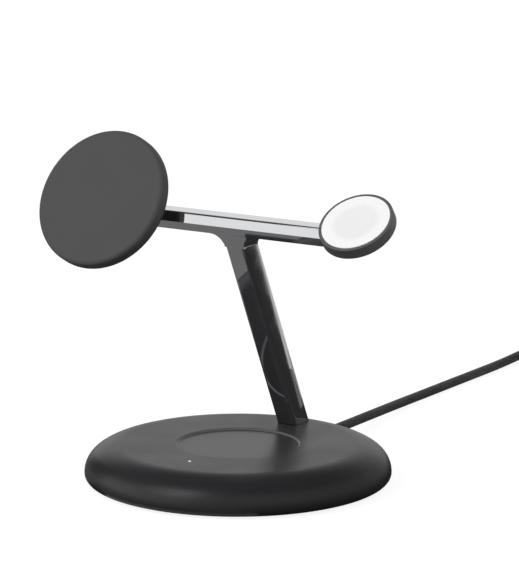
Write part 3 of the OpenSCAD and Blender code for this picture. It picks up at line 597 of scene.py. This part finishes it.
# Satin black polycarbonate ring of the watch puck.
WATCH_RING = Finish("watch_ring", "#58585a", "#5c5c5e", 0.4, 0.03, 0.25, 0.004, ior=1.45, mottle=0.6)
# White polycarbonate charging disc, polished: clean white with a soft highlight and a painted shade in its
# hollow.
WATCH_WHITE = PolishedDisc(place=WATCH_AXIS)
# Thermoplastic rubber of the strain relief: dull black with a fine grain.
RELIEF_RUBBER = Finish("relief_rubber", "#1d1d1e", "#252526", 0.7, 0.05, 0.3, 0.01)
# Black ABS plug body, moulded with a fine grain.
PLUG_PLASTIC = Finish("plug_plastic", "#2a2a2c", "#313133", 0.5, 0.04, 0.3, 0.008)
# Deep-drawn stainless steel plug tip, bead-blasted bright.
PLUG_METAL = BareMetal("plug_metal", "#c6c8cb", "#b0b3b6", 0.28, 0.06, 0.3, 0.004, Pattern.ROLLED)

SOLID_FINISHES: tuple[tuple[Coat, tuple[str, ...]], ...] = (
    (BASE_SHELL, ("base_top_shell",)),
    (UNDER_COVER, ("base_bottom_cover",)),
    (FOOT_RUBBER, ("foot_pad",)),
    (CAST_ZINC, ("arm_socket",)),
    (BALLAST_STEEL, ("ballast_plate",)),
    (SCREW_STEEL, ("base_screws", "ballast_screws", "socket_screws", "clamp_screws", "board_screws")),
    (replace(SCREW_STEEL, place=PHONE_AXIS), ("phone_neck_nut",)),
    (replace(SCREW_STEEL, place=WATCH_AXIS), ("watch_neck_nut",)),
    (SPACER_BRASS, ("board_spacers",)),
    (BOARD_LAMINATE, ("main_circuit_board", "phone_board", "watch_board")),
    (CHIP_PLASTIC, ("control_chips", "phone_board_chips", "power_inductors")),
    (CAPACITOR_CAN, ("capacitors",)),
    (CONNECTOR_NYLON, ("lead_connectors", "earbud_coil_carrier")),
    (COIL_COPPER, ("earbud_coil",)),
    (replace(COIL_COPPER, place=PHONE_AXIS), ("phone_coil",)),
    (replace(COIL_COPPER, place=WATCH_AXIS), ("watch_coil",)),
    (FERRITE, ("earbud_ferrite", "phone_ferrite", "watch_ferrite")),
    (MAGNET_NICKEL, ("phone_magnets", "phone_magnet_shield", "watch_magnet")),
    (LED_EPOXY, ("status_led",)),
    (LEAD_VINYL, ("earbud_lead", "power_lead", "phone_lead", "watch_lead")),
    (PHONE_FACE, ("phone_front_shell",)),
    (PHONE_BACK, ("phone_back_plate",)),
    (WATCH_RING, ("watch_housing",)),
    (WATCH_WHITE, ("watch_disc",)),
    (MirrorPlating(), ("arm_casting",)),
    (LitGuide(), ("led_light_guide",)),
)


def add_object(bm: BMesh, name: str, material: bpy.types.Material) -> bpy.types.Object:
    """Turns a bmesh into an object of the scene.

    Args:
        bm: The shape. It is freed.
        name: Name of the object.
        material: Its material.

    Returns:
        The new object.
    """
    mesh = bpy.data.meshes.new(name)
    bm.to_mesh(mesh)
    bm.free()
    mesh.materials.append(material)
    added = bpy.data.objects.new(name, mesh)
    bpy.context.scene.collection.objects.link(added)
    return added


def make_piece(
    bm: BMesh, name: str, finish: Coat, stands_for: Sequence[str] = (), sharp: float = 35.0
) -> bpy.types.Object:
    """Turns a finished bmesh into a dressed piece that rides on the stand.

    Args:
        bm: The shape, in place in the shared frame. It is freed.
        name: Name of the piece.
        finish: Its finish.
        stands_for: Solids that the piece replaces.
        sharp: Angle in degrees from which an edge stays crisp.

    Returns:
        The new object.
    """
    bmesh.ops.recalc_face_normals(bm, faces=bm.faces)
    for face in bm.faces:
        face.smooth = True
    for edge in bm.edges:
        edge.smooth = edge.calc_face_angle(0.0) < math.radians(sharp)
    piece = add_object(bm, name, finish.build())
    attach(piece, "root")
    if stands_for:
        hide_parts(*stands_for)
    LOG.info("%s: %d faces, finish %s", name, len(piece.data.polygons), finish.slot)
    return piece


def lathe(bm: BMesh, outline: Outline, place: Matrix, steps: int) -> None:
    """Turns an outline round the local Z axis of a place.

    Args:
        bm: The bmesh that gets the shape.
        outline: Radius and height of each corner, in millimetres, from one end to the other.
        place: Where local Z and the origin are.
        steps: Number of steps in the full turn.
    """
    corners = [bm.verts.new(place @ mm(radius, 0, height)) for radius, height in outline]
    edges = [bm.edges.new(pair) for pair in zip(corners, corners[1:])]
    bmesh.ops.spin(
        bm,
        geom=corners + edges,
        cent=place.translation,
        axis=place.to_3x3() @ Vector((0, 0, 1)),
        angle=math.tau,
        steps=steps,
        use_merge=True,
    )
    # The corners on the axis become one.
    bmesh.ops.remove_doubles(bm, verts=bm.verts, dist=0.002 * MM)


def smooth_run(points: Sequence[Vector], steps: int) -> list[Vector]:
    """Lays a smooth curve through points.

    Args:
        points: The points, in order.
        steps: Number of parts between two of them.

    Returns:
        The points of the curve, both ends included.
    """
    run: list[Vector] = []
    for i in range(len(points) - 1):
        a, b = points[max(i - 1, 0)], points[i]
        c, d = points[i + 1], points[min(i + 2, len(points) - 1)]
        for k in range(steps):
            t = k / steps
            doubled = 2 * b + (c - a) * t
            doubled += (2 * a - 5 * b + 4 * c - d) * t**2
            doubled += (3 * b - a - 3 * c + d) * t**3
            run.append(0.5 * doubled)
    return run + [points[-1].copy()]


@dataclass(frozen=True)
class CordTie:
    """The hook-and-loop strap round all turns of the coil at one place. Sizes are in millimetres.

    Attributes:
        coil_centre: Middle of the coil on the table.
        inner: Radius of the strap's inner side, from the coil's middle.
        outer: Radius of its outer side.
        low: Height of its lower side.
        high: Height of its upper side.
        start: Radius at which the tape starts, on the upper side.
        lap: Radius and lift off the upper side of each corner of the end that laps over the start.
        bend: Rounding of the corners.
        thickness: Thickness of the tape.
        turn: Where it is on the coil, in degrees from +X.
        width: Its width, in degrees round the coil.
    """

    coil_centre: tuple[float, float]
    inner: float = 17.0
    outer: float = 34.6
    low: float = 0.62
    high: float = 9.9
    start: float = 27.0
    lap: tuple[tuple[float, float], ...] = ((23.0, 0.0), (26.0, 0.85), (31.5, 0.95))
    bend: float = 2.4
    thickness: float = 0.7
    turn: float = 78.0
    width: float = 24.0

    def measure(self, bm: BMesh) -> bmesh.types.BMLayerItem:
        """Measures the way along the tape, from its start, at each corner.

        Args:
            bm: The bmesh with the line of the tape.

        Returns:
            The layer that holds it, in metres.
        """
        along = bm.verts.layers.float.new("along")
        corner = min((v for v in bm.verts if len(v.link_edges) == 1), key=lambda v: v.co.z)
        walked, last = 0.0, None
        while corner:
            corner[along] = walked
            onward = [e for e in corner.link_edges if e is not last]
            if not onward:
                break
            last = onward[0]
            walked += last.calc_length()
            corner = last.other_vert(corner)
        return along

    def build(self) -> bpy.types.Object:
        """Makes the tie.

        Returns:
            The new piece.
        """
        bm = bmesh.new()
        x, y = self.coil_centre
        corners = [(self.start, self.high), (self.outer, self.high), (self.outer, self.low)]
        corners += [(self.inner, self.low), (self.inner, self.high)]
        corners += [(radius, self.high + lift) for radius, lift in self.lap]
        turn = math.radians(self.turn)
        line = [bm.verts.new(mm(x + r * math.cos(turn), y + r * math.sin(turn), z)) for r, z in corners]
        for pair in zip(line, line[1:]):
            bm.edges.new(pair)
        # Only the four corners round the coil are bent.
        bent = {"offset": self.bend * MM, "segments": 5, "profile": 0.5, "material": -1}
        bmesh.ops.bevel(bm, geom=line[1:5], affect="VERTICES", offset_type="OFFSET", **bent)
        along = self.measure(bm)
        geom, angle = list(bm.verts) + list(bm.edges), math.radians(self.width)
        bmesh.ops.spin(bm, geom=geom, cent=mm(x, y, 0), axis=(0, 0, 1), angle=angle, steps=8)
        layer = bm.loops.layers.uv.new("UVMap")
        middle = (self.inner + self.outer) / 2
        for face in bm.faces:
            for loop in face.loops:
                across = math.atan2(loop.vert.co.y - y * MM, loop.vert.co.x - x * MM) * middle * MM
                loop[layer].uv = (loop.vert[along], across)
        bmesh.ops.recalc_face_normals(bm, faces=bm.faces)
        bmesh.ops.solidify(bm, geom=list(bm.faces), thickness=self.thickness * MM)
        return make_piece(bm, "cord_tie_strap", Weave(), ("cord_tie",), sharp=50.0)


@dataclass(frozen=True)
class Ribs:
    """A row of ribs and grooves round a flexible sleeve, in millimetres.

    Attributes:
        first: Where the first one starts along the sleeve.
        pitch: Distance from one to the next.
        radii: Radius of the near and of the far part of one pitch.
        ends: Where, from its start, the near part ends, and where the far part starts and ends.
        taper: How much the radii grow from one to the next.
        count: Number of ribs.
    """

    first: float
    pitch: float
    radii: tuple[float, float]
    ends: tuple[float, float, float]
    taper: float
    count: int = 4

    def outline(self) -> Outline:
        """Gives the corners of the row.

        Returns:
            Radius and place along the sleeve of each corner.
        """
        corners = []
        for number in range(self.count):
            at = self.first + self.pitch * number
            near, far = (radius + self.taper * number for radius in self.radii)
            near_end, far_start, far_end = (at + end for end in self.ends)
            corners += [(near, at), (near, near_end), (far, far_start), (far, far_end)]
        return corners


@dataclass(frozen=True)
class Block:
    """A block along Y with rounded long edges, in millimetres.

    Attributes:
        back: How far its middle is in front of the plug's root.
        size: Width, length and height.
        rounding: Rounding of its long edges, 0 for sharp ones.
        segments: Number of parts of each rounding.
    """

    back: float
    size: Point
    rounding: float = 0.0
    segments: int = 1

    def add(self, bm: BMesh, root: Point) -> None:
        """Adds the block.

        Args:
            bm: The bmesh that gets it.
            root: The plug's root.
        """
        x, y, z = root
        place = Matrix.Translation(mm(x, y - self.back, z)) @ Matrix.Diagonal((*mm(*self.size), 1))
        bmesh.ops.create_cube(bm, size=1.0, matrix=place)
        if self.rounding:
            long = [e for e in bm.edges if abs(e.verts[0].co.y - e.verts[1].co.y) > MM]
            bevel = {"offset": self.rounding * MM, "segments": self.segments, "profile": 0.5, "material": -1}
            bmesh.ops.bevel(bm, geom=long, affect="EDGES", **bevel)


@dataclass(frozen=True)
class PowerPlug:
    """The plug: a flat body with a ribbed boot and a metal tip, towards -Y. Sizes are in millimetres.

    Attributes:
        root: Where the cord comes in, at the boot's end.
        body: The body.
        end_rounding: Rounding of the edges round the body's two ends.
        sleeve: Radii of the boot's end, from the cord out.
        ribs: The boot's ribs.
        collar: Radius of the boot's collar, and where it starts and ends.
        tip: The metal tip.
        wall: Thickness of the tip's wall.
        depth: Depth of its mouth.
        tongue: The tongue in its mouth.
    """

    root: Point = (57.4, 233.0, 3.3)
    body: Block = Block(16.5, (11.8, 19.0, 6.2), 2.9, 10)
    end_rounding: float = 0.6
    sleeve: tuple[float, float] = (2.15, 2.6)
    ribs: Ribs = Ribs(0.7, 1.35, (2.7, 2.45), (0.75, 0.9, 1.2), 0.06)
    collar: tuple[float, float, float] = (3.0, 6.3, 7.3)
    tip: Block = Block(29.3, (8.3, 6.6, 2.4), 1.18, 8)
    wall: float = 0.35
    depth: float = 5.8
    tongue: Block = Block(29.4, (6.4, 5.6, 0.7))

    def build_body(self) -> bpy.types.Object:
        """Makes the body with its ribbed boot.

        Returns:
            The new piece.
        """
        bm = bmesh.new()
        self.body.add(bm, self.root)
        # The edges that lie across Y are those round the two ends.
        ends = [e for e in bm.edges if abs(e.verts[0].co.y - e.verts[1].co.y) < 0.01 * MM]
        bevel = {"offset": self.end_rounding * MM, "segments": 3, "profile": 0.5, "material": -1}
        bmesh.ops.bevel(bm, geom=ends, affect="EDGES", **bevel)
        radius, start, end = self.collar
        outline = [(0.0, 0.0)] + [(inner, 0.0) for inner in self.sleeve] + self.ribs.outline()
        outline += [(radius, start), (radius, end), (0.0, end)]
        forward = Matrix.Translation(mm(*self.root)) @ Matrix.Rotation(math.radians(90), 4, "X")
        lathe(bm, outline, forward, steps=48)
        return make_piece(bm, "plug_body", PLUG_PLASTIC, ("plug_shell",))

    def build_tip(self) -> bpy.types.Object:
        """Makes the metal tip with its open mouth.

        Returns:
            The new piece.
        """
        bm = bmesh.new()
        self.tip.add(bm, self.root)
        mouth = [min(bm.faces, key=lambda f: f.calc_center_median().y)]
        bmesh.ops.inset_region(bm, faces=mouth, thickness=self.wall * MM)
        deep = bmesh.ops.extrude_discrete_faces(bm, faces=mouth)["faces"]
        bmesh.ops.translate(bm, verts=list({v for f in deep for v in f.verts}), vec=mm(0, self.depth, 0))
        self.tongue.add(bm, self.root)
        return make_piece(bm, "plug_metal_tip", PLUG_METAL, ("plug_tip",))


@dataclass(frozen=True)
class StrainRelief:
    """The ribbed sleeve at the back of the base, along Y. Sizes are in millimetres.

    Attributes:
        height: Height of its axis above the table.
        flange: Radius of its flange, and where that starts and ends along Y.
        neck: Radius of its smooth neck, and where that ends.
        ribs: Its ribs.
        mouth: Radius of its end, and where that is.
        chamfer: Width and length of the chamfer round its end.
        underside: Height at which it is cut flat.
    """

    height: float = 5.3
    flange: tuple[float, float, float] = (4.4, 58.4, 60.2)
    neck: tuple[float, float] = (3.4, 67.6)
    ribs: Ribs = Ribs(67.9, 1.9, (2.6, 3.25), (0.7, 0.95, 1.7), -0.2)
    mouth: tuple[float, float] = (2.5, 76.0)
    chamfer: tuple[float, float] = (0.25, 0.1)
    underside: float = 2.7

    def build(self) -> bpy.types.Object:
        """Makes the strain relief.

        Returns:
            The new piece.
        """
        wide, start, flange_end = self.flange
        narrow, neck_end = self.neck
        radius, end = self.mouth
        outline = [(0.0, start), (wide, start), (wide, flange_end), (narrow, flange_end), (narrow, neck_end)]
        outline += self.ribs.outline()
        outline += [(radius, end - self.chamfer[1]), (radius - self.chamfer[0], end), (0.0, end)]
        bm = bmesh.new()
        back = Matrix.Translation(mm(0, 0, self.height)) @ Matrix.Rotation(math.radians(-90), 4, "X")
        lathe(bm, outline, back, steps=64)
        geom = list(bm.verts) + list(bm.edges) + list(bm.faces)
        plane = {"plane_co": mm(0, 0, self.underside), "plane_no": (0, 0, -1)}
        cut = bmesh.ops.bisect_plane(bm, geom=geom, clear_outer=True, **plane)["geom_cut"]
        bmesh.ops.holes_fill(bm, edges=[g for g in cut if isinstance(g, bmesh.types.BMEdge)], sides=0)
        return make_piece(bm, "ribbed_strain_relief", RELIEF_RUBBER, ("strain_relief",))


@dataclass
class SupplyCord:
    """The braided supply cord: a run along the table, a tied coil and a tail with the plug.

    Attributes:
        diameter: Diameter of the cord, in metres.
        run: Route from the strain relief to the coil, in millimetres.
        coil_centre: Middle of the coil on the table, in millimetres.
        radii: Radius of each ring of turns in a layer, in millimetres, from the outer one in.
        levels: Height of the lower and the upper layer of turns, in millimetres.
        tail: Route from the coil to the plug, in millimetres.
        turns: Number of turns in the coil.
        shift: Share of a turn in which the cord moves over to the next ring.
        climb_in: How much further in it climbs to the upper layer, in millimetres.
        turn_steps: Number of parts of a turn.
        route_steps: Number of parts between two points of a route.
        sides: Number of sides of the tube.
    """

    diameter: float = 4.3 * MM
    run: tuple[Point, ...] = (
        (0, 76, 5.3), (-0.5, 90, 5.1), (-1.9, 105, 4.5), (-3.5, 120, 3.8), (-5.1, 135, 3.1), (-6.4, 150, 2.5),
        (-7, 170, 2.2), (-7, 200, 2.2), (-7, 232, 2.2), (-7, 248, 2.35), (-7, 262, 2.75), (-7, 274, 3.05),
    )  # fmt: skip
    coil_centre: tuple[float, float] = (25.2, 285.0)
    radii: tuple[float, ...] = (32.2, 27.9, 23.6, 19.35)
    levels: tuple[float, float] = (3.05, 7.35)
    tail: tuple[Point, ...] = (
        (57.4, 275, 7.35), (57.4, 265, 7.3), (57.4, 258, 6.7),
        (57.4, 248, 4.9), (57.4, 240, 3.7), (57.4, 232, 3.3),
    )  # fmt: skip
    turns: float = 7.5
    shift: float = 0.15
    climb_in: float = 1.9
    turn_steps: int = 36
    route_steps: int = 5
    sides: int = 20

    def coil_point(self, turned: float) -> Vector:
        """Gives the cord's middle in the coil.

        Args:
            turned: Number of turns since the cord came into the coil.

        Returns:
            The point, in metres.
        """
        whole, part = divmod(turned, 1.0)
        ease = max(0.0, (part - (1.0 - self.shift)) / self.shift)
        ease = ease * ease * (3 - 2 * ease)
        rings = self.radii + self.radii[::-1]
        ring = min(int(whole), len(rings) - 1)
        radius = rings[ring] + (rings[min(ring + 1, len(rings) - 1)] - rings[ring]) * ease
        innermost = len(self.radii) - 1
        height = self.levels[0] if ring <= innermost else self.levels[1]
        if ring == innermost:  # the cord climbs to the upper layer here
            height += (self.levels[1] - self.levels[0]) * ease
            radius -= self.climb_in * math.sin(math.pi * ease)
        angle = math.pi - math.tau * turned
        x, y = self.coil_centre
        return mm(x + radius * math.cos(angle), y + radius * math.sin(angle), height)

    def route(self) -> list[Vector]:
        """Lays the whole middle line.

        Returns:
            Its points from the strain relief to the plug, in metres.
        """
        coil = [self.coil_point(i / self.turn_steps) for i in range(int(self.turns * self.turn_steps) + 1)]
        to_coil = smooth_run([mm(*point) for point in self.run] + coil[:1], self.route_steps)
        to_plug = smooth_run(coil[-1:] + [mm(*point) for point in self.tail], self.route_steps)
        return to_coil[:-1] + coil + to_plug[1:]

    def sweep(self, bm: BMesh, path: list[Vector]) -> None:
        """Extrudes a ring along the route and unwraps it.

        Args:
            bm: The bmesh that gets the tube.
            path: The middle line.
        """
        along, around = bm.verts.layers.float.new("along"), bm.verts.layers.float.new("around")
        way = (path[1] - path[0]).normalized()
        start = Matrix.Translation(path[0]) @ way.to_track_quat("Z", "Y").to_matrix().to_4x4()
        circle = {"segments": self.sides, "radius": self.diameter / 2, "matrix": start}
        ring = bmesh.ops.create_circle(bm, **circle)["verts"]
        for side, corner in enumerate(ring):
            corner[around] = side / self.sides
        edges, walked = list(bm.edges), 0.0
        for here, there, after in zip(path, path[1:], path[2:] + path[-1:]):
            new_way = (after - here).normalized()
            turn = way.rotation_difference(new_way).to_matrix().to_4x4()
            step = Matrix.Translation(there) @ turn @ Matrix.Translation(-here)
            grown = bmesh.ops.extrude_edge_only(bm, edges=edges)["geom"]
            ring = [g for g in grown if isinstance(g, bmesh.types.BMVert)]
            corners = set(ring)
            edges = [g for g in grown if isinstance(g, bmesh.types.BMEdge) and set(g.verts) <= corners]
            bmesh.ops.transform(bm, matrix=step, verts=ring)
            walked += (there - here).length
            for corner in ring:
                corner[along] = walked
            way = new_way
        layer = bm.loops.layers.uv.new("UVMap")
        for face in bm.faces:
            seam = max(v[around] for v in face.verts) - min(v[around] for v in face.verts) > 0.5
            for loop in face.loops:
                share = loop.vert[around]
                loop[layer].uv = (loop.vert[along], share + 1.0 if seam and share < 0.5 else share)
        bmesh.ops.holes_fill(bm, edges=[e for e in bm.edges if e.is_boundary], sides=self.sides)

    def build(self) -> None:
        path = self.route()
        bm = bmesh.new()
        self.sweep(bm, path)
        cord = make_piece(bm, "supply_cord", Braid(), ("cord", "cord_coil"), sharp=60.0)
        tie, plug = CordTie(self.coil_centre).build(), PowerPlug()
        with_pieces = [tie, plug.build_body(), plug.build_tip()]
        StrainRelief().build()


@dataclass
class ChargingStand:
    """The whole stand: the hard parts, which keep their solids, and the cord.

    Attributes:
        finishes: Each finish and the solids that it is on.
        cord: The supply cord with its plug.
    """

    finishes: tuple[tuple[Coat, tuple[str, ...]], ...] = SOLID_FINISHES
    cord: SupplyCord = field(default_factory=SupplyCord)

    def dress(self, name: str, material: bpy.types.Material) -> None:
        """Puts a material on one solid.

        Args:
            name: Name of the solid.
            material: Its finish.
        """
        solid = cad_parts[name]
        for number in range(len(solid.material_slots)):
            solid.material_slots[number].material = material
        LOG.info("%s: finish %s", name, material.name)

    def build(self) -> None:
        """Dresses every solid and makes the cord."""
        for finish, names in self.finishes:
            for name in names:
                self.dress(name, finish.build())
        self.cord.build()


@dataclass(frozen=True)
class Fade:
    """A direction in which the sky grows dimmer, in reflections only.

    Attributes:
        way: The direction.
        start: Where the sky starts to dim: how far a ray of length 1 reaches along the direction.
        end: Where it is at its dimmest, in the same measure.
        least: Its brightness there, for 1 where it isn't dimmed.
    """

    way: Point
    start: float
    end: float
    least: float


@dataclass(frozen=True)
class TableCard:
    """A card just over the table that only reflections see, cut as part of a ring.

    Attributes:
        name: Name of the card.
        shade: Its colour, sRGB hex.
        centre: The point it goes round, in millimetres.
        radii: Inner and outer radius, in millimetres.
        start: Where it starts, in degrees from +X.
        sweep: How far it goes round, in degrees.
    """

    name: str
    shade: str
    centre: Point
    radii: tuple[float, float]
    start: float
    sweep: float


@dataclass(frozen=True)
class HungCard:
    """A card in the air that only reflections see.

    Attributes:
        name: Name of the card.
        shade: Its colour, sRGB hex.
        at: Its place, in millimetres.
        aim: The point it faces, in millimetres.
        size: Width and height, in metres.
        strength: How bright it is, 1 for a card as bright as its colour.
    """

    name: str
    shade: str
    at: Point
    aim: Point
    size: tuple[float, float]
    strength: float = 1.0


@dataclass(frozen=True)
class Softbox:
    """A square lamp that faces the stand and that no reflection shows.

    Attributes:
        name: Name of the lamp.
        at: Its place, in millimetres.
        watts: Its power.
        size: Width of its face, in metres.
    """

    name: str
    at: Point
    watts: float
    size: float = 0.9


def towards(at: Point, aim: Point) -> Quaternion:
    """Returns the turn that points -Z from one place at another."""
    return (mm(*aim) - mm(*at)).to_track_quat("-Z", "Y")


@dataclass
class Studio:
    """A plain pale floor, soft light all round, the camera, and cards for the arm to mirror.

    Attributes:
        eye: Where the camera stands, in millimetres.
        aim: The point it looks at, in millimetres.
        lens: Focal length over a 36 mm sensor on the picture's longer side.
        level: Brightness of the surroundings for light on the object.
        fades: How the sky dims in reflections.
        table_cards: The cards on the table.
        slip: Place of the narrow card, in millimetres.
        slip_size: Width, depth and slant of the narrow card, in millimetres.
        hung_cards: The cards in the air.
        softboxes: The lamps.
        lamp_aim: The point that the lamps face, in millimetres.
    """

    eye: Point = (756.126, -1162.229, 368.205)
    aim: Point = (-1.170, 18.741, 80.788)
    lens: float = 211.16
    level: float = 0.55
    fades: tuple[Fade, ...] = (
        # Dark overhead, from a little lower at the back and on the left.
        Fade((-0.17, 0.12, 1.0), 0.5, 0.74, 0.1),
        # Dimmer on the right, and a little dimmer at the back.
        Fade((1.0, 0.0, 0.0), -0.5, 0.2, 0.38),
        Fade((0.0, 1.0, 0.0), 0.0, 0.6, 0.85),
    )
    table_cards: tuple[TableCard, ...] = (
        TableCard("grey_card", "#767676", (0, 0, 0.2), (66.5, 215.0), 0.0, 360.0),
        TableCard("dark_back_card", "#303030", (0, 0, 0.3), (66.5, 190.0), 66.0, 84.0),
        TableCard("far_back_card", "#303030", (0, 0, 0.3), (190.0, 420.0), 108.0, 42.0),
        TableCard("black_card", "#303030", (4.9, 52.6, 0.4), (8.0, 560.0), -70.0, 124.37),
        # Keeps the inner corner of the bar and the stem dark.
        TableCard("corner_card", "#303030", (4.9, 52.6, 0.35), (110.0, 290.0), 55.0, 9.5),
    )
    slip: Point = (-45.5, -52.5, 0.5)
    slip_size: Point = (38.0, 12.0, 8.0)
    hung_cards: tuple[HungCard, ...] = (
        # Darkens the base's left end.
        HungCard("black_flag", "#161616", (-573, 113, 170), (-38, -50, 170), (0.35, 0.34)),
        # Draws the paler band along the base's side.
        HungCard("scrim", "#ffffff", (-323, -800, 834), (0, 0, 10), (0.46, 0.6), 2.9),
        # Behind the scrim: the bar's top front edge draws it as a dark line.
        HungCard("line_card", "#2c2c2c", (-664, -870, 712), (0, 0, 110), (0.3, 0.56)),
    )
    softboxes: tuple[Softbox, ...] = (
        Softbox("key_softbox", (-900, -1100, 1200), 16.0),
        Softbox("fill_softbox", (1100, -700, 900), 6.0),
    )
    lamp_aim: Point = (0, 0, 60)

    def camera(self) -> None:
        """Sets up the camera at the picture's view."""
        data = bpy.data.cameras.new("studio_camera")
        data.lens, data.sensor_width = self.lens, 36.0
        data.clip_start, data.clip_end = 0.01, 20.0
        camera = bpy.data.objects.new("studio_camera", data)
        bpy.context.scene.collection.objects.link(camera)
        camera.location = mm(*self.eye)
        camera.rotation_euler = towards(self.eye, self.aim).to_euler()
        bpy.context.scene.camera = camera

    def surroundings(self) -> None:
        """Makes the world: white behind everything, and a sky that dims in reflections only."""
        world = bpy.data.worlds.new("studio_world")
        bpy.context.scene.world = world
        world.use_nodes = True
        tree = world.node_tree
        tree.nodes.clear()
        way = add_node(tree, "TexCoord", out="Generated")
        sky = 1.0
        for fade in self.fades:
            reach = add_node(tree, "VectorMath", {0: way, 1: fade.way}, operation="DOT_PRODUCT", out=1)
            ramp = {"Value": reach, "From Min": fade.start, "From Max": fade.end, "To Max": fade.least}
            ramp["To Min"] = 1.0
            part = add_node(tree, "MapRange", ramp, interpolation_type="SMOOTHSTEP")
            sky = add_node(tree, "Math", {0: part, 1: sky}, operation="MULTIPLY")
        mirrored, lit, white = (
            add_node(tree, "Background", {"Color": linear("#ffffff"), "Strength": strength})
            for strength in (sky, self.level, 1.0)
        )
        glossy, direct, passing = (
            add_node(tree, "LightPath", out=ray)
            for ray in ("Is Glossy Ray", "Is Camera Ray", "Is Transmission Ray")
        )
        unseen = add_node(tree, "MixShader", {0: glossy, 1: lit, 2: mirrored})
        seen = add_node(tree, "Math", {0: direct, 1: passing}, operation="MAXIMUM")
        final = add_node(tree, "MixShader", {0: seen, 1: unseen, 2: white})
        add_node(tree, "OutputWorld", {"Surface": final})

    def floor(self) -> None:
        """Makes the pale floor.

        It lights the stand as grey paper and reflections see it as pale paper. To the camera it
        glows just enough to end at white, and still takes the stand's soft shadow.
        """
        material, tree = new_material("pale_paper_floor")
        plain, pale, shaded = (
            add_node(tree, "BsdfDiffuse", {"Color": linear(shade)})
            for shade in ("#7a7a7a", "#dcdcdc", "#7c7c7c")
        )
        glossy, direct = (add_node(tree, "LightPath", out=ray) for ray in ("Is Glossy Ray", "Is Camera Ray"))
        paper = add_node(tree, "MixShader", {0: glossy, 1: plain, 2: pale})
        glow = add_node(tree, "Emission", {"Color": linear("#ffffff"), "Strength": 0.87})
        shown = add_node(tree, "AddShader", {0: shaded, 1: glow})
        final = add_node(tree, "MixShader", {0: direct, 1: paper, 2: shown})
        add_node(tree, "OutputMaterial", {"Surface": final})
        bm = bmesh.new()
        # Just under the rubber foot, so that the two faces aren't in one plane.
        under = Matrix.Translation(mm(0, 0, -0.1))
        bmesh.ops.create_circle(bm, cap_ends=True, segments=96, radius=3.0, matrix=under)
        add_object(bm, "pale_floor", material)

    def card(self, bm: BMesh, name: str, shade: str, strength: float = 1.0) -> None:
        """Turns a bmesh into a card that only reflections see.

        Args:
            bm: The shape. It is freed.
            name: Name of the card.
            shade: Its colour, sRGB hex.
            strength: How bright it is, 1 for a card as bright as its colour.
        """
        material, tree = new_material(name)
        paper = add_node(tree, "Emission", {"Color": linear(shade), "Strength": strength})
        add_node(tree, "OutputMaterial", {"Surface": paper})
        material.cycles.emission_sampling = "NONE"
        card = add_object(bm, name, material)
        card.visible_camera = card.visible_diffuse = card.visible_shadow = card.visible_transmission = False

    def lay_cards(self) -> None:
        """Lays the cards on the table."""
        for card in self.table_cards:
            bm = bmesh.new()
            start, centre = math.radians(card.start), mm(*card.centre)
            way = Vector((math.cos(start), math.sin(start), 0))
            ends = [bm.verts.new(centre + way * radius * MM) for radius in card.radii]
            geom, sweep = ends + [bm.edges.new(ends)], math.radians(card.sweep)
            bmesh.ops.spin(bm, geom=geom, cent=centre, axis=(0, 0, 1), angle=sweep, steps=48)
            self.card(bm, card.name, card.shade)
        # The narrow one beside the base darkens the lower half of the bar's lower facet.
        width, depth, slant = (value * MM for value in self.slip_size)
        slanted = Matrix(((width, slant, 0, 0), (0, depth, 0, 0), (0, 0, 1, 0), (0, 0, 0, 1)))
        bm = bmesh.new()
        place = Matrix.Translation(mm(*self.slip)) @ slanted
        bmesh.ops.create_grid(bm, x_segments=1, y_segments=1, size=0.5, matrix=place)
        self.card(bm, "narrow_card", "#303030")

    def hang_cards(self) -> None:
        """Hangs the cards in the air."""
        for card in self.hung_cards:
            bm = bmesh.new()
            facing = towards(card.at, card.aim).to_matrix().to_4x4()
            place = Matrix.Translation(mm(*card.at)) @ facing @ Matrix.Diagonal((*card.size, 1, 1))
            bmesh.ops.create_grid(bm, x_segments=1, y_segments=1, size=0.5, matrix=place)
            self.card(bm, card.name, card.shade, card.strength)

    def hang_lamps(self) -> None:
        """Hangs the softboxes."""
        for softbox in self.softboxes:
            data = bpy.data.lights.new(softbox.name, "AREA")
            data.shape, data.size, data.energy = "SQUARE", softbox.size, softbox.watts
            lamp = bpy.data.objects.new(softbox.name, data)
            bpy.context.scene.collection.objects.link(lamp)
            lamp.location = mm(*softbox.at)
            lamp.rotation_euler = towards(softbox.at, self.lamp_aim).to_euler()
            lamp.visible_glossy = False

    def build(self) -> None:
        """Sets up the whole studio."""
        bpy.context.scene.view_settings.view_transform = "Standard"
        self.camera()
        self.surroundings()
        self.floor()
        self.lay_cards()
        self.hang_cards()
        self.hang_lamps()


def main() -> None:
    """Builds the studio and the stand."""
    logging.basicConfig(level=logging.INFO, format="%(name)s: %(message)s")
    Studio().build()
    ChargingStand().build()


if __name__ == "__main__":
    main()
